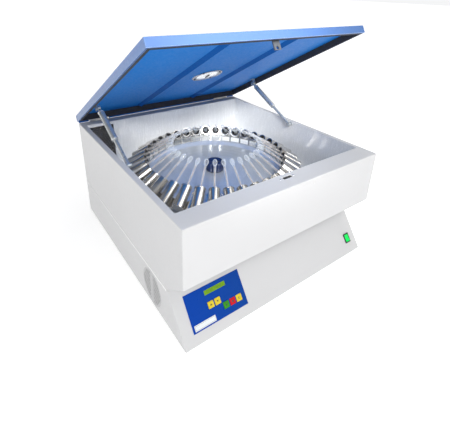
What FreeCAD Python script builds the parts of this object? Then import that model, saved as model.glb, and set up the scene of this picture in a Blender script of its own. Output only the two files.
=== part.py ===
"""Benchtop centrifuge for glass butyrometers, lid propped open.

Millimetres, +Z up, X across, -Y to the operator. The origin is on the ground under the middle of the machine.
Every driving dimension is a cell of the sheet Dims; sub-parts are bound to those cells by expressions.
"""
import FreeCAD, Part
import math
import os
import re

import Sketcher
from FreeCAD import Placement, Rotation, Vector

DIMENSIONS = {
    # casing
    "body_width": 620, "body_depth": 660, "front_y": -333, "foot_height": 10, "seam_height": 121,
    "lip_height": 182, "top_height": 330, "waist_inset": 75, "toe_reach": 7, "sheet": 2,
    "bend_radius": 2.5, "seam_gap": 1, "front_rim": 55, "side_rim": 15, "back_rim": 35, "joint_gap": 0.3,
    # chamber
    "liner_wall": 1.5, "floor_height": 172, "floor_hole_radius": 20,
    "grille_left": 8, "grille_width": 76, "grille_low": 205, "grille_high": 320, "grille_thick": 1.2,
    "mesh_pitch": 8, "mesh_hole": 5.6, "heater_radius": 3.5, "heater_pitch": 14, "heater_gap": 13,
    # base, deck and feet
    "plate_thick": 2, "deck_thick": 4, "deck_hole_radius": 40, "foot_radius": 18, "foot_inset": 45,
    "foot_recess_radius": 7, "foot_recess_depth": 4, "screw_radius": 2.5, "screw_head_radius": 4.5,
    "screw_head": 2.5, "screw_length": 14, "rear_screw_inset": 24, "rear_screw_low": 40,
    # vents and fan
    "vent_y": -177, "vent_z": 64, "vent_radius": 50, "vent_lip": 1.5, "vent_strip": 9,
    "vent_pitch": 6.6, "vent_hole": 4.6, "fan_size": 92, "fan_depth": 25, "fan_bore": 43,
    "fan_hub": 16, "blade_radius": 41, "blade_chord": 20, "blade_thick": 2, "blade_count": 7,
    "blade_pitch": 32, "fan_play": 1.5,
    # rotor
    "rotor_y": 8, "tube_count": 36, "tube_tilt": 30, "mouth_radius": 207, "mouth_z": 268,
    "sleeve_length": 64, "sleeve_radius": 14.2, "sleeve_wall": 1.4, "sleeve_lip": 1, "lip_length": 1.6,
    "disc_top": 218, "disc_thick": 4, "disc_flat_radius": 192, "disc_radius": 207, "rim_rise": 9,
    "hub_radius": 26, "hub_length": 20, "knob_radius": 30, "knob_height": 31, "knob_edge": 7,
    "post_width": 5, "post_depth": 3.5, "arm_thick": 3, "rim_flange": 6,
    "ring_inner": 229, "ring_outer": 252, "ring_thick": 3,
    # butyrometers, measured along the sleeve from its closed end
    "stopper_radius": 11.6, "stopper_start": 2, "stopper_end": 12, "stopper_taper": 1, "glass_radius": 11.4,
    "shoulder_start": 44, "shoulder_run": 3, "shoulder_end": 56, "neck_radius": 3.1,
    "neck_end": 134, "bulb_radius": 6.6, "bulb_end": 157,
    # drive
    "shaft_radius": 10, "shaft_clear": 1, "shaft_low": 34, "seat_radius": 8, "thread_radius": 6,
    "thread_length": 20,
    "bearing_radius": 21, "bearing_width": 14, "bearing_play": 0.05, "lower_bearing_z": 36,
    "upper_bearing_z": 120, "motor_radius": 76, "motor_low": 30, "motor_top": 100, "flange_radius": 88,
    "flange_thick": 4, "boss_radius": 30, "motor_chamfer": 6, "mount_radius": 10, "mount_ring": 74,
    "seal_radius": 25, "seal_lip": 3, "seal_play": 0.5, "sensor_offset": 36,
    # lid, measured from its hinge axis
    "hinge_y": 335, "hinge_z": 331.5, "lid_open": 29, "lid_width": 627, "lid_front": 643, "lid_back": 6,
    "lid_low": -0.5, "lid_high": 19.5, "lid_sheet": 1.5, "lid_lip": 5, "gasket_width": 6.5,
    "gasket_low": -1.1, "rib_offset": 103, "rib_width": 26, "rib_depth": 9, "rib_sheet": 1.2,
    "rib_margin": 18,
    "window_centre": 327, "window_radius": 32, "pane_radius": 45, "pane_thick": 3, "pane_screw_ring": 39,
    # hinges
    "hinge_offset": 245, "hinge_half": 30, "knuckle_radius": 5, "knuckle_half": 12, "hinge_pin_radius": 2.5,
    "leaf_thick": 2, "leaf_drop": 26, "leaf_rise": 16, "leaf_clear": 5.5, "web_lap": 0.5,
    # stays
    "stay_offset": 285, "stay_foot_y": -19, "stay_foot_z": 321, "pivot_reach": 178, "eye_radius": 7,
    "eye_width": 8, "stay_pin_radius": 3.2, "stay_play": 0.06, "stud_base_radius": 6.4,
    "stud_cap_radius": 5.12, "stud_gap": 1.5, "rod_radius": 5, "rod_end": 124, "neck_half": 3.6,
    "piston_radius": 6.2, "piston_length": 8, "barrel_start": 92, "barrel_radius": 8.5, "barrel_bore": 6.6,
    "gland_length": 12, "barrel_tail": 18, "bracket_thick": 2, "bracket_half": 6, "bracket_gap": 6,
    # lid lock
    "slot_y": 39.5, "slot_width": 27, "slot_depth": 8, "striker_width": 20, "striker_thick": 3,
    "striker_drop": 21, "bolt_radius": 3, "bolt_length": 14, "bolt_z": 315, "lock_width": 70,
    "lock_depth": 38, "lock_back": 13, "lock_low": 292, "lock_plate_width": 56, "lock_plate_depth": 16,
    "lock_plate_thick": 1.5, "lock_screw_pitch": 43, "lock_screw_radius": 1.6, "lock_head_radius": 2.8,
    # control panel, measured on the sloping front: across from the middle, up from its lower edge
    "panel_x": -203, "panel_s": 67.5, "panel_width": 155, "panel_height": 86, "panel_thick": 1.2,
    "up_key_x": -220.5, "down_key_x": -201.7, "start_key_x": -183, "stop_key_x": -164.3, "lid_key_x": -145.6,
    "key_size": 15.4, "key_play": 0.35, "key_proud": 0.9, "key_depth": 4, "upper_keys_s": 65.5,
    "lower_keys_s": 48, "display_x": -199, "display_s": 95, "display_width": 59, "display_height": 11,
    "label_x": -247, "label_s": 34.5, "label_width": 57, "label_height": 13, "label_thick": 0.7,
    "board_width": 134, "board_height": 66, "board_thick": 1.6, "board_back": 9, "board_s": 70,
    # rocker switch
    "switch_x": 274, "switch_s": 42.5, "switch_width": 21.5, "switch_height": 27.5, "switch_flange": 2,
    "switch_body": 19, "rocker_width": 14.8, "rocker_length": 20.4, "rocker_play": 0.35, "rocker_tilt": 6,
    "rocker_proud": 3.4, "rocker_dip": 1.9, "rocker_deep": 6, "well_proud": 1,
    # power side
    "inlet_x": 225, "inlet_z": 66, "inlet_width": 50, "inlet_height": 58, "inlet_flange": 3,
    "inlet_body": 26, "socket_width": 26, "socket_height": 18, "socket_depth": 18, "socket_rise": 9,
    "pin_width": 2, "pin_height": 4, "pin_length": 14, "pin_spread": 7, "fuse_width": 27,
    "fuse_height": 12, "fuse_drop": 16, "supply_x": 120, "supply_y": -120, "supply_width": 160,
    "supply_length": 220, "supply_stand": 8, "leg_radius": 3, "leg_inset": 10,
    "choke_x": 135, "choke_y": 30, "choke_width": 50, "choke_length": 55, "choke_height": 42,
    "sink_x": 150, "sink_y": -100, "sink_width": 90, "sink_length": 30, "sink_height": 50,
    "can_x": 205, "can_y": 10, "can_pitch": 28, "can_radius": 11, "can_height": 36,
}

KEYS = {
    "key_up": ("up_key_x", "upper_keys_s"),
    "key_down": ("down_key_x", "upper_keys_s"),
    "key_start": ("start_key_x", "lower_keys_s"),
    "key_stop": ("stop_key_x", "lower_keys_s"),
    "key_lid": ("lid_key_x", "lower_keys_s"),
}

REAR = "(front_y + body_depth)"
SLOPE = "atan2(seam_height - foot_height; waist_inset + toe_reach)"
UNDERCUT = "atan2(lip_height - seam_height; waist_inset)"
CHAMBER_HALF = "(body_width / 2 - side_rim)"
CHAMBER_FRONT = "(front_y + front_rim)"
CHAMBER_BACK = f"({REAR} - back_rim)"
RIM_UNDER = "(top_height - sheet)"
LID_INNER = "(lid_high - lid_sheet)"
STAY_RUN = "(hinge_y - pivot_reach * cos(lid_open) - stay_foot_y)"
STAY_RISE = "(hinge_z + pivot_reach * sin(lid_open) - stay_foot_z)"
STAY_LENGTH = f"sqrt({STAY_RUN}^2 + {STAY_RISE}^2)"
STAY_ANGLE = f"atan2({STAY_RISE}; {STAY_RUN})"

doc = FreeCAD.newDocument("butyrometer_centrifuge")
sheet = doc.addObject("Spreadsheet::Sheet", "Dims")
for row, (alias, number) in enumerate(DIMENSIONS.items(), start=1):
    sheet.set(f"A{row}", alias)
    sheet.set(f"B{row}", str(number))
    sheet.setAlias(f"B{row}", alias)
doc.recompute()

nodes = {}


def value(alias):
    """A driving dimension as a number, read back from the sheet."""
    return float(sheet.get(alias))


def bound(text):
    """An expression with each driving dimension's name pointed at its cell."""
    def cell(word):
        return "Dims." + word[0] if word[0] in DIMENSIONS else word[0]
    return re.sub(r"[a-z][a-z_]*", cell, str(text))


def place(thing, at=("0", "0", "0"), axis=None, angle=None):
    """Put a thing at three expressions, turned about an axis by an angle expression in degrees."""
    if axis is not None:
        thing.Placement = Placement(Vector(), Rotation(Vector(*axis), 1))
        thing.setExpression("Placement.Rotation.Angle", bound(angle))
    for letter, text in zip("xyz", at):
        thing.setExpression(f"Placement.Base.{letter}", bound(text))
    return thing


def node(name, thing):
    """Register a finished sub-part under the name of its file."""
    thing.Label = name
    nodes[name] = thing
    return thing


def box(name, size, at):
    """A block with its low corner at a point."""
    block = doc.addObject("Part::Box", name)
    for side, text in zip(("Length", "Width", "Height"), size):
        block.setExpression(side, bound(text))
    return place(block, at)


def middle_box(name, size, centre):
    """A block about a centre."""
    return box(name, size, [f"({mid}) - ({length}) / 2" for mid, length in zip(centre, size)])


def rod(name, radius, length, at, along="z"):
    """A cylinder from a point along one axis."""
    bar = doc.addObject("Part::Cylinder", name)
    bar.setExpression("Radius", bound(radius))
    bar.setExpression("Height", bound(length))
    turns = {"z": None, "x": ((0, 1, 0), "90"), "y": ((1, 0, 0), "-90")}
    turn = turns[along]
    return place(bar, at) if turn is None else place(bar, at, turn[0], turn[1])


def cut(name, base, *tools):
    """The base with every tool taken away."""
    left = base
    for count, tool in enumerate(tools, start=1):
        taken = doc.addObject("Part::Cut", name if count == len(tools) else f"{name}_step{count}")
        taken.Base = left
        taken.Tool = tool
        left = taken
    return left


def carry(name, piece):
    """One finished solid held in a frame of its own, so it can be moved as drawn."""
    holder = doc.addObject("Part::Compound", name)
    holder.Links = [piece]
    return holder


def fuse(name, *pieces):
    """Several solids joined into one."""
    joined = doc.addObject("Part::MultiFuse", name)
    joined.Shapes = list(pieces)
    joined.Refine = True
    return joined


def sketch(body, role, corners):
    """A closed outline on one of a body's own planes, each corner held by two bound distances."""
    outline = body.newObject("Sketcher::SketchObject", body.Name + "_outline")
    plane = next(feature for feature in body.Origin.OriginFeatures if feature.Role == role)
    outline.AttachmentSupport = [(plane, "")]
    outline.MapMode = "FlatFace"
    count = len(corners)
    start_radius = 100.0
    spoke = Vector(start_radius, 0, 0)
    ring = [Rotation(Vector(0, 0, 1), 360 * i / count).multVec(spoke) for i in range(count)]
    for i in range(count):
        outline.addGeometry(Part.LineSegment(ring[i], ring[(i + 1) % count]), False)
    for i in range(count):
        outline.addConstraint(Sketcher.Constraint("Coincident", i, 2, (i + 1) % count, 1))
    for i, corner in enumerate(corners):
        for kind, text in zip(("DistanceX", "DistanceY"), corner):
            index = outline.addConstraint(Sketcher.Constraint(kind, -1, 1, i, 1, start_radius + i))
            outline.renameConstraint(index, f"{kind}_{i}")
            outline.setExpression(f"Constraints.{kind}_{i}", bound(text))
    return outline


def padded(name, role, corners, length, radius=None, rounded=None):
    """An outline padded equally to both sides of its plane, with chosen edges rounded."""
    body = doc.addObject("PartDesign::Body", name)
    pad = body.newObject("PartDesign::Pad", name + "_pad")
    pad.Profile = sketch(body, role, corners)
    pad.SideType = "Symmetric"
    pad.setExpression("Length", bound(length))
    if radius is not None:
        doc.recompute()
        edges = [f"Edge{i}" for i, edge in enumerate(pad.Shape.Edges, start=1) if rounded(edge)]
        fillet = body.newObject("PartDesign::Fillet", name + "_round")
        fillet.Base = (pad, edges)
        fillet.setExpression("Radius", bound(radius))
    return body


def turned(name, corners):
    """An outline of radius and height pairs turned about Z."""
    body = doc.addObject("PartDesign::Body", name)
    turn = body.newObject("PartDesign::Revolution", name + "_turn")
    profile = sketch(body, "XZ_Plane", corners)
    turn.Profile = profile
    turn.ReferenceAxis = (profile, ["V_Axis"])
    turn.Angle = 360
    return body


def copies(name, source, places):
    """Separate copies of one finished solid, one at each placement, as one sub-part."""
    doc.recompute()
    group = doc.addObject("Part::Feature", name)
    group.Shape = Part.makeCompound([source.Shape.transformed(spot.toMatrix()) for spot in places])
    group.Placement = Placement()
    return group


def on_panel(thing):
    """Move a thing drawn flat onto the sloping front: X across, Y up the slope, Z outwards."""
    return place(thing, ("0", "front_y - toe_reach", "foot_height"), (1, 0, 0), SLOPE)


def on_lid(thing):
    """Move a thing drawn about the hinge axis, lid shut, to where the open lid holds it."""
    return place(thing, ("0", "hinge_y", "hinge_z"), (1, 0, 0), "-lid_open")


def around(count, radius=0.0, first=0.0, centre=(0.0, 0.0)):
    """Placements spaced evenly about a vertical axis."""
    spots = []
    for i in range(count):
        turn = Rotation(Vector(0, 0, 1), first + 360 * i / count)
        spots.append(Placement(Vector(*centre, 0) + turn.multVec(Vector(radius, 0, 0)), turn))
    return spots


def honeycomb(name, across, pitch, depth, accept):
    """A field of hexagonal prisms on a staggered grid, drawn in the XY plane about its origin."""
    corner = across / math.sqrt(3)
    step = pitch * math.sqrt(3) / 2
    reach = int(value("grille_high") / pitch)
    prisms = []
    for row in range(-reach, reach + 1):
        for column in range(-reach, reach + 1):
            x = (column + row % 2 / 2) * pitch
            y = row * step
            if accept(x, y, corner):
                spokes = [math.radians(30 + 60 * i) for i in range(7)]
                ring = [Vector(x + corner * math.cos(a), y + corner * math.sin(a), -depth) for a in spokes]
                prisms.append(Part.Face(Part.makePolygon(ring)).extrude(Vector(0, 0, 2 * depth)))
    field = doc.addObject("Part::Feature", name)
    field.Shape = Part.makeCompound(prisms)
    return field


# ---------------------------------------------------------------- casing

def upper_casing():
    """Outer housing with its undercut front and the square opening inside the rim."""
    seam = value("seam_height")
    outer = padded("housing_outer", "YZ_Plane", [
        ("front_y", "lip_height"),
        ("front_y", "top_height"),
        (REAR, "top_height"),
        (REAR, "seam_height"),
        ("front_y + waist_inset", "seam_height"),
    ], "body_width", "bend_radius", lambda edge: edge.BoundBox.ZMax > seam + 1)
    inner = padded("housing_inner", "YZ_Plane", [
        ("front_y + sheet", f"lip_height - sheet * tan({UNDERCUT}) + sheet / cos({UNDERCUT})"),
        ("front_y + sheet", RIM_UNDER),
        (f"{REAR} - sheet", RIM_UNDER),
        (f"{REAR} - sheet", "seam_height - sheet"),
        (f"front_y + waist_inset + sheet / tan({UNDERCUT}) + sheet / sin({UNDERCUT})", "seam_height - sheet"),
    ], "body_width - 2 * sheet")
    opening = box("housing_opening",
                  (f"2 * {CHAMBER_HALF}", f"{CHAMBER_BACK} - {CHAMBER_FRONT}", "4 * sheet"),
                  (f"-{CHAMBER_HALF}", CHAMBER_FRONT, "top_height - 2 * sheet"))
    slot = middle_box("housing_slot", ("slot_width + sheet", "slot_depth + sheet", "4 * sheet"),
                      ("0", "front_y + slot_y", "top_height"))
    holes = [rod(f"housing_lock_hole{side:+d}", "lock_screw_radius + joint_gap / 2", "4 * sheet",
                 (f"{side} * lock_screw_pitch / 2", "front_y + slot_y", "top_height - 2 * sheet"))
             for side in (-1, 1)]
    node("upper_casing", cut("housing", outer, inner, opening, slot, *holes))


def lower_casing():
    """Base shell with the sloping front, open above and below, cut out for panel, switch, vents and inlet."""
    flat = value("body_width") / 2
    outer = padded("base_outer", "YZ_Plane", [
        ("front_y - toe_reach", "foot_height"),
        (f"front_y + waist_inset - seam_gap / tan({SLOPE})", "seam_height - seam_gap"),
        (REAR, "seam_height - seam_gap"),
        (REAR, "foot_height"),
    ], "body_width", "bend_radius", lambda edge: abs(edge.BoundBox.XMax) > flat - 1
        and edge.BoundBox.ZLength > value("foot_height"))
    inner = padded("base_inner", "YZ_Plane", [
        (f"front_y - toe_reach - sheet / tan({SLOPE}) + sheet / sin({SLOPE})", "foot_height - sheet"),
        (f"front_y + waist_inset + sheet / tan({SLOPE}) + sheet / sin({SLOPE})", "seam_height + sheet"),
        (f"{REAR} - sheet", "seam_height + sheet"),
        (f"{REAR} - sheet", "foot_height - sheet"),
    ], "body_width - 2 * sheet")
    panel_hole = on_panel(carry("base_panel_hole", middle_box(
        "base_panel_block", ("board_width - sheet", "board_height", "8 * sheet"),
        ("panel_x", "board_s", "0"))))
    switch_hole = on_panel(carry("base_switch_hole", middle_box(
        "base_switch_block", ("switch_width - 2 * sheet", "switch_height - sheet", "8 * sheet"),
        ("switch_x", "switch_s", "0"))))
    vents = rod("base_vents", "vent_radius + joint_gap", "body_width + 2 * sheet",
                ("-body_width / 2 - sheet", "vent_y", "vent_z"), "x")
    inlet = middle_box("base_inlet", ("inlet_width - 3 * sheet", "8 * sheet", "inlet_height - 3 * sheet"),
                       ("inlet_x", REAR, "inlet_z"))
    screws = [rod(f"base_screw{side:+d}", "screw_radius + joint_gap / 2", "8 * sheet",
                  (f"{side} * (body_width / 2 - rear_screw_inset)", f"{REAR} - 4 * sheet",
                   "rear_screw_low"), "y")
              for side in (-1, 1)]
    node("lower_casing", cut("base", outer, inner, panel_hole, switch_hole, vents, inlet, *screws))


def floor_pieces():
    """Bottom plate, rubber feet, the deck under the chamber and the screws."""
    front = "front_y - toe_reach + 3 * sheet"
    plate = box("bottom", ("body_width - 2 * sheet - 2 * joint_gap",
                           f"{REAR} - sheet - joint_gap - ({front})", "plate_thick"),
                ("-(body_width / 2 - sheet - joint_gap)", front, "foot_height"))
    corners = [(x, y) for x in (-1, 1) for y in (-1, 1)]
    holes = [rod(f"bottom_hole{x:+d}{y:+d}", "screw_radius + joint_gap / 2", "3 * plate_thick",
                 (f"{x} * (body_width / 2 - foot_inset)", f"{y} * (body_depth / 2 - foot_inset)",
                  "foot_height - plate_thick")) for x, y in corners]
    node("base_plate", cut("bottom_drilled", plate, *holes))

    foot = turned("foot", [
        ("screw_radius + joint_gap / 2", "foot_recess_depth"),
        ("foot_recess_radius", "foot_recess_depth"),
        ("foot_recess_radius", "0"),
        ("foot_radius - sheet", "0"),
        ("foot_radius", "sheet"),
        ("foot_radius", "foot_height"),
        ("screw_radius + joint_gap / 2", "foot_height"),
    ])
    reach_x = value("body_width") / 2 - value("foot_inset")
    reach_y = value("body_depth") / 2 - value("foot_inset")
    under = [Placement(Vector(x * reach_x, y * reach_y, 0), Rotation()) for x, y in corners]
    node("rubber_feet", copies("feet", foot, under))

    screw = turned("screw", [
        ("0", "0"),
        ("screw_head_radius", "0"),
        ("screw_head_radius", "screw_head"),
        ("screw_radius", "screw_head"),
        ("screw_radius", "screw_length"),
        ("0", "screw_length"),
    ])
    sunk = Placement(Vector(0, 0, value("foot_recess_depth") - value("screw_head")), Rotation())
    heads_down = [spot.multiply(sunk) for spot in under]
    rear = value("front_y") + value("body_depth")
    inset = value("body_width") / 2 - value("rear_screw_inset")
    forwards = Rotation(Vector(1, 0, 0), 90)
    heads_back = [Placement(Vector(x * inset, rear + value("screw_head"), value("rear_screw_low")), forwards)
                  for x in (-1, 1)]
    node("casing_screws", copies("screws", screw, heads_down + heads_back))

    deck_front = "front_y + waist_inset + 4 * sheet"
    deck = box("deck", ("body_width - 2 * sheet - 2 * joint_gap",
                        f"{REAR} - sheet - joint_gap - ({deck_front})", "deck_thick"),
               ("-(body_width / 2 - sheet - joint_gap)", deck_front, "seam_height - seam_gap - deck_thick"))
    deck_hole = rod("deck_hole", "deck_hole_radius", "3 * deck_thick",
                    ("0", "rotor_y", "seam_height - seam_gap - 2 * deck_thick"))
    node("motor_deck", cut("deck_bored", deck, deck_hole))


def chamber():
    """Steel tub with a bored floor, the heater's grille in its back wall and the heater behind it."""
    tub = box("tub",
              (f"2 * ({CHAMBER_HALF} + liner_wall)",
               f"{CHAMBER_BACK} - {CHAMBER_FRONT} + 2 * liner_wall",
               f"{RIM_UNDER} - floor_height + liner_wall"),
              (f"-({CHAMBER_HALF} + liner_wall)",
               f"{CHAMBER_FRONT} - liner_wall",
               "floor_height - liner_wall"))
    hollow = box("tub_hollow", (f"2 * {CHAMBER_HALF}", f"{CHAMBER_BACK} - {CHAMBER_FRONT}", "top_height"),
                 (f"-{CHAMBER_HALF}", CHAMBER_FRONT, "floor_height"))
    bore = rod("tub_bore", "floor_hole_radius", "6 * liner_wall",
               ("0", "rotor_y", "floor_height - 3 * liner_wall"))
    window = box("tub_window", ("grille_width", "8 * liner_wall", "grille_high - grille_low"),
                 (f"-{CHAMBER_HALF} + grille_left", f"{CHAMBER_BACK} - 4 * liner_wall", "grille_low"))
    node("chamber_liner", cut("tub_open", tub, hollow, bore, window))

    width, height = value("grille_width"), value("grille_high") - value("grille_low")
    holes = honeycomb("grille_holes", value("mesh_hole"), value("mesh_pitch"), 2 * value("grille_thick"),
                      lambda x, y, r: abs(x) + 2 * r < width / 2 and abs(y) + 2 * r < height / 2)
    plate = middle_box("grille_plate", ("grille_width - joint_gap", "grille_high - grille_low - joint_gap",
                                        "grille_thick"), ("0", "0", "grille_thick / 2"))
    grille = cut("grille", plate, holes)
    place(grille, (f"-{CHAMBER_HALF} + grille_left + grille_width / 2", f"{CHAMBER_BACK} + grille_thick",
                   "(grille_low + grille_high) / 2"), (1, 0, 0), "90")
    node("heater_grille", grille)

    low, high = value("grille_low"), value("grille_high")
    pitch, thick = value("heater_pitch"), value("heater_radius")
    middle = -value("body_width") / 2 + value("side_rim") + value("grille_left") + width / 2
    back = value("front_y") + value("body_depth") - value("back_rim") + value("heater_gap")
    runs = [middle + pitch * (i - 2) for i in range(5)]
    edges = []
    for i, x in enumerate(runs):
        ends = [Vector(x, back, low + pitch), Vector(x, back, high - pitch)]
        start, end = ends if i % 2 == 0 else ends[::-1]
        edges.append(Part.LineSegment(start, end).toShape())
        if i + 1 < len(runs):
            bulge = Vector(pitch / 2, 0, pitch / 2 if i % 2 == 0 else -pitch / 2)
            edges.append(Part.Arc(end, end + bulge, end + Vector(pitch, 0, 0)).toShape())
    ring = Part.Wire(Part.makeCircle(thick, Vector(runs[0], back, low + pitch), Vector(0, 0, 1)))
    coil = doc.addObject("Part::Feature", "coil")
    coil.Shape = Part.Wire(edges).makePipeShell([ring], True, False)
    coil.Placement = Placement()
    node("heater_element", coil)


def vents_and_fan():
    """A round perforated vent in each side of the base, and the fan behind the left one."""
    disc = fuse("vent_disc", rod("vent_face", "vent_radius", "sheet", ("0", "0", "0")),
                rod("vent_flange", "vent_radius + vent_lip", "sheet / 2", ("0", "0", "-sheet / 2")))
    limit, strip = value("vent_radius"), value("vent_strip") / 2
    holes = honeycomb("vent_holes", value("vent_hole"), value("vent_pitch"), 2 * value("sheet"),
                      lambda x, y, r: math.hypot(x, y) + 2 * r < limit and abs(x) > strip + r)
    vent = cut("vent", disc, holes)
    half = value("body_width") / 2 - value("sheet")
    across = [Placement(Vector(side * half, value("vent_y"), value("vent_z")),
                        Rotation(Vector(0, 0, 1), 90 * side).multiply(Rotation(Vector(1, 0, 0), 90)))
              for side in (-1, 1)]
    node("side_vents", copies("vents", vent, across))

    inside = "-(body_width / 2 - 2 * sheet)"
    case = middle_box("fan_block", ("fan_depth", "fan_size", "fan_size"),
                      (f"{inside} + fan_depth / 2", "vent_y", "vent_z"))
    throat = rod("fan_throat", "fan_bore", "2 * fan_depth",
                 (f"{inside} - fan_depth / 2", "vent_y", "vent_z"), "x")
    stator = rod("fan_stator", "fan_hub", "3 * fan_play",
                 (f"{inside} + fan_depth - 3 * fan_play", "vent_y", "vent_z"), "x")
    spokes = [middle_box(f"fan_spoke{i}", ("2 * fan_play", size[0], size[1]),
                         (f"{inside} + fan_depth - fan_play", "vent_y", "vent_z"))
              for i, size in enumerate((("2 * fan_bore + fan_play", "3 * fan_play"),
                                        ("3 * fan_play", "2 * fan_bore + fan_play")))]
    node("fan_frame", fuse("fan_case", cut("fan_ring", case, throat), stator, *spokes))

    depth = value("fan_depth") - 6 * value("fan_play")
    hub = Part.makeCylinder(value("fan_hub"), depth)
    length = value("blade_radius") - value("fan_hub") / 2
    chord, thick = value("blade_chord"), value("blade_thick")
    blade = Part.makeBox(length, chord, thick, Vector(value("fan_hub") / 2, -chord / 2, -thick / 2))
    blade.Placement = Placement(Vector(0, 0, depth / 2), Rotation(Vector(1, 0, 0), value("blade_pitch")))
    blades = [blade.transformed(spot.toMatrix(), True) for spot in around(int(value("blade_count")))]
    bound_disc = Part.makeCylinder(value("blade_radius"), depth)
    wheel = doc.addObject("Part::Feature", "wheel")
    wheel.Shape = hub.multiFuse(blades).common(bound_disc)
    start = -(value("body_width") / 2 - 2 * value("sheet")) + value("fan_play")
    across = Rotation(Vector(0, 1, 0), 90)
    wheel.Placement = Placement(Vector(start, value("vent_y"), value("vent_z")), across)
    node("fan_impeller", wheel)


# ---------------------------------------------------------------- drive and rotor

def drive():
    """Motor hung under the deck on rubber, its bearings, the shaft, the floor seal and the speed sensor."""
    motor = turned("motor", [
        ("shaft_radius + shaft_clear", "motor_low"),
        ("motor_radius - motor_chamfer", "motor_low"),
        ("motor_radius", "motor_low + motor_chamfer"),
        ("motor_radius", "motor_top"),
        ("flange_radius", "motor_top"),
        ("flange_radius", "motor_top + flange_thick"),
        ("boss_radius", "motor_top + flange_thick"),
        ("boss_radius", "upper_bearing_z + bearing_width"),
        ("bearing_radius", "upper_bearing_z + bearing_width"),
        ("bearing_radius", "upper_bearing_z"),
        ("shaft_radius + 2 * shaft_clear", "upper_bearing_z"),
        ("shaft_radius + 2 * shaft_clear", "lower_bearing_z + bearing_width"),
        ("bearing_radius", "lower_bearing_z + bearing_width"),
        ("bearing_radius", "lower_bearing_z"),
        ("shaft_radius + shaft_clear", "lower_bearing_z"),
    ])
    node("motor_housing", place(motor, ("0", "rotor_y", "0")))

    bearing = turned("bearing", [
        ("shaft_radius + bearing_play", "0"),
        ("bearing_radius", "0"),
        ("bearing_radius", "bearing_width"),
        ("shaft_radius + bearing_play", "bearing_width"),
    ])
    seats = [Placement(Vector(0, value("rotor_y"), value(seat)), Rotation())
             for seat in ("lower_bearing_z", "upper_bearing_z")]
    node("shaft_bearings", copies("bearings", bearing, seats))

    deck_under = "seam_height - seam_gap - deck_thick"
    mount = rod("mount", "mount_radius", f"{deck_under} - motor_top - flange_thick",
                ("0", "0", "motor_top + flange_thick"))
    spots = around(4, value("mount_ring"), 45, (0, value("rotor_y")))
    node("motor_mounts", copies("mounts", mount, spots))

    shaft = turned("shaft", [
        ("0", "shaft_low"),
        ("shaft_radius", "shaft_low"),
        ("shaft_radius", "disc_top - hub_length"),
        ("seat_radius", "disc_top - hub_length"),
        ("seat_radius", "disc_top"),
        ("thread_radius", "disc_top"),
        ("thread_radius", "disc_top + thread_length"),
        ("0", "disc_top + thread_length"),
    ])
    node("drive_shaft", place(shaft, ("0", "rotor_y", "0")))

    seal = turned("seal", [
        ("shaft_radius + seal_play", "floor_height - 2 * seal_lip"),
        ("floor_hole_radius", "floor_height - 2 * seal_lip"),
        ("floor_hole_radius", "floor_height"),
        ("seal_radius", "floor_height"),
        ("seal_radius", "floor_height + seal_lip"),
        ("shaft_radius + seal_play", "floor_height + 2 * seal_lip"),
    ])
    node("shaft_seal", place(seal, ("0", "rotor_y", "0")))

    head = middle_box("sensor_head", ("4 * sheet", "8 * sheet", "12 * sheet"),
                      ("sensor_offset", "rotor_y", "seam_height - seam_gap + 6 * sheet"))
    foot = box("sensor_foot", ("sensor_offset - 2 * sheet", "8 * sheet", "sheet"),
               ("sensor_offset", "rotor_y - 4 * sheet", "seam_height - seam_gap"))
    node("speed_sensor", fuse("sensor", head, foot))


def tube_spots():
    """One placement per sleeve: Z runs from the sleeve's closed outer end up towards the rotor's axis."""
    tilt = math.radians(value("tube_tilt"))
    length = value("sleeve_length")
    outer_radius = value("mouth_radius") + length * math.cos(tilt)
    outer_z = value("mouth_z") - length * math.sin(tilt)
    lean = Placement(Vector(outer_radius, 0, outer_z), Rotation(Vector(0, 1, 0), value("tube_tilt") - 90))
    half_step = 180 / value("tube_count")
    centre = (0, value("rotor_y"))
    return [spot.multiply(lean) for spot in around(int(value("tube_count")), 0, half_step, centre)]


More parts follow.
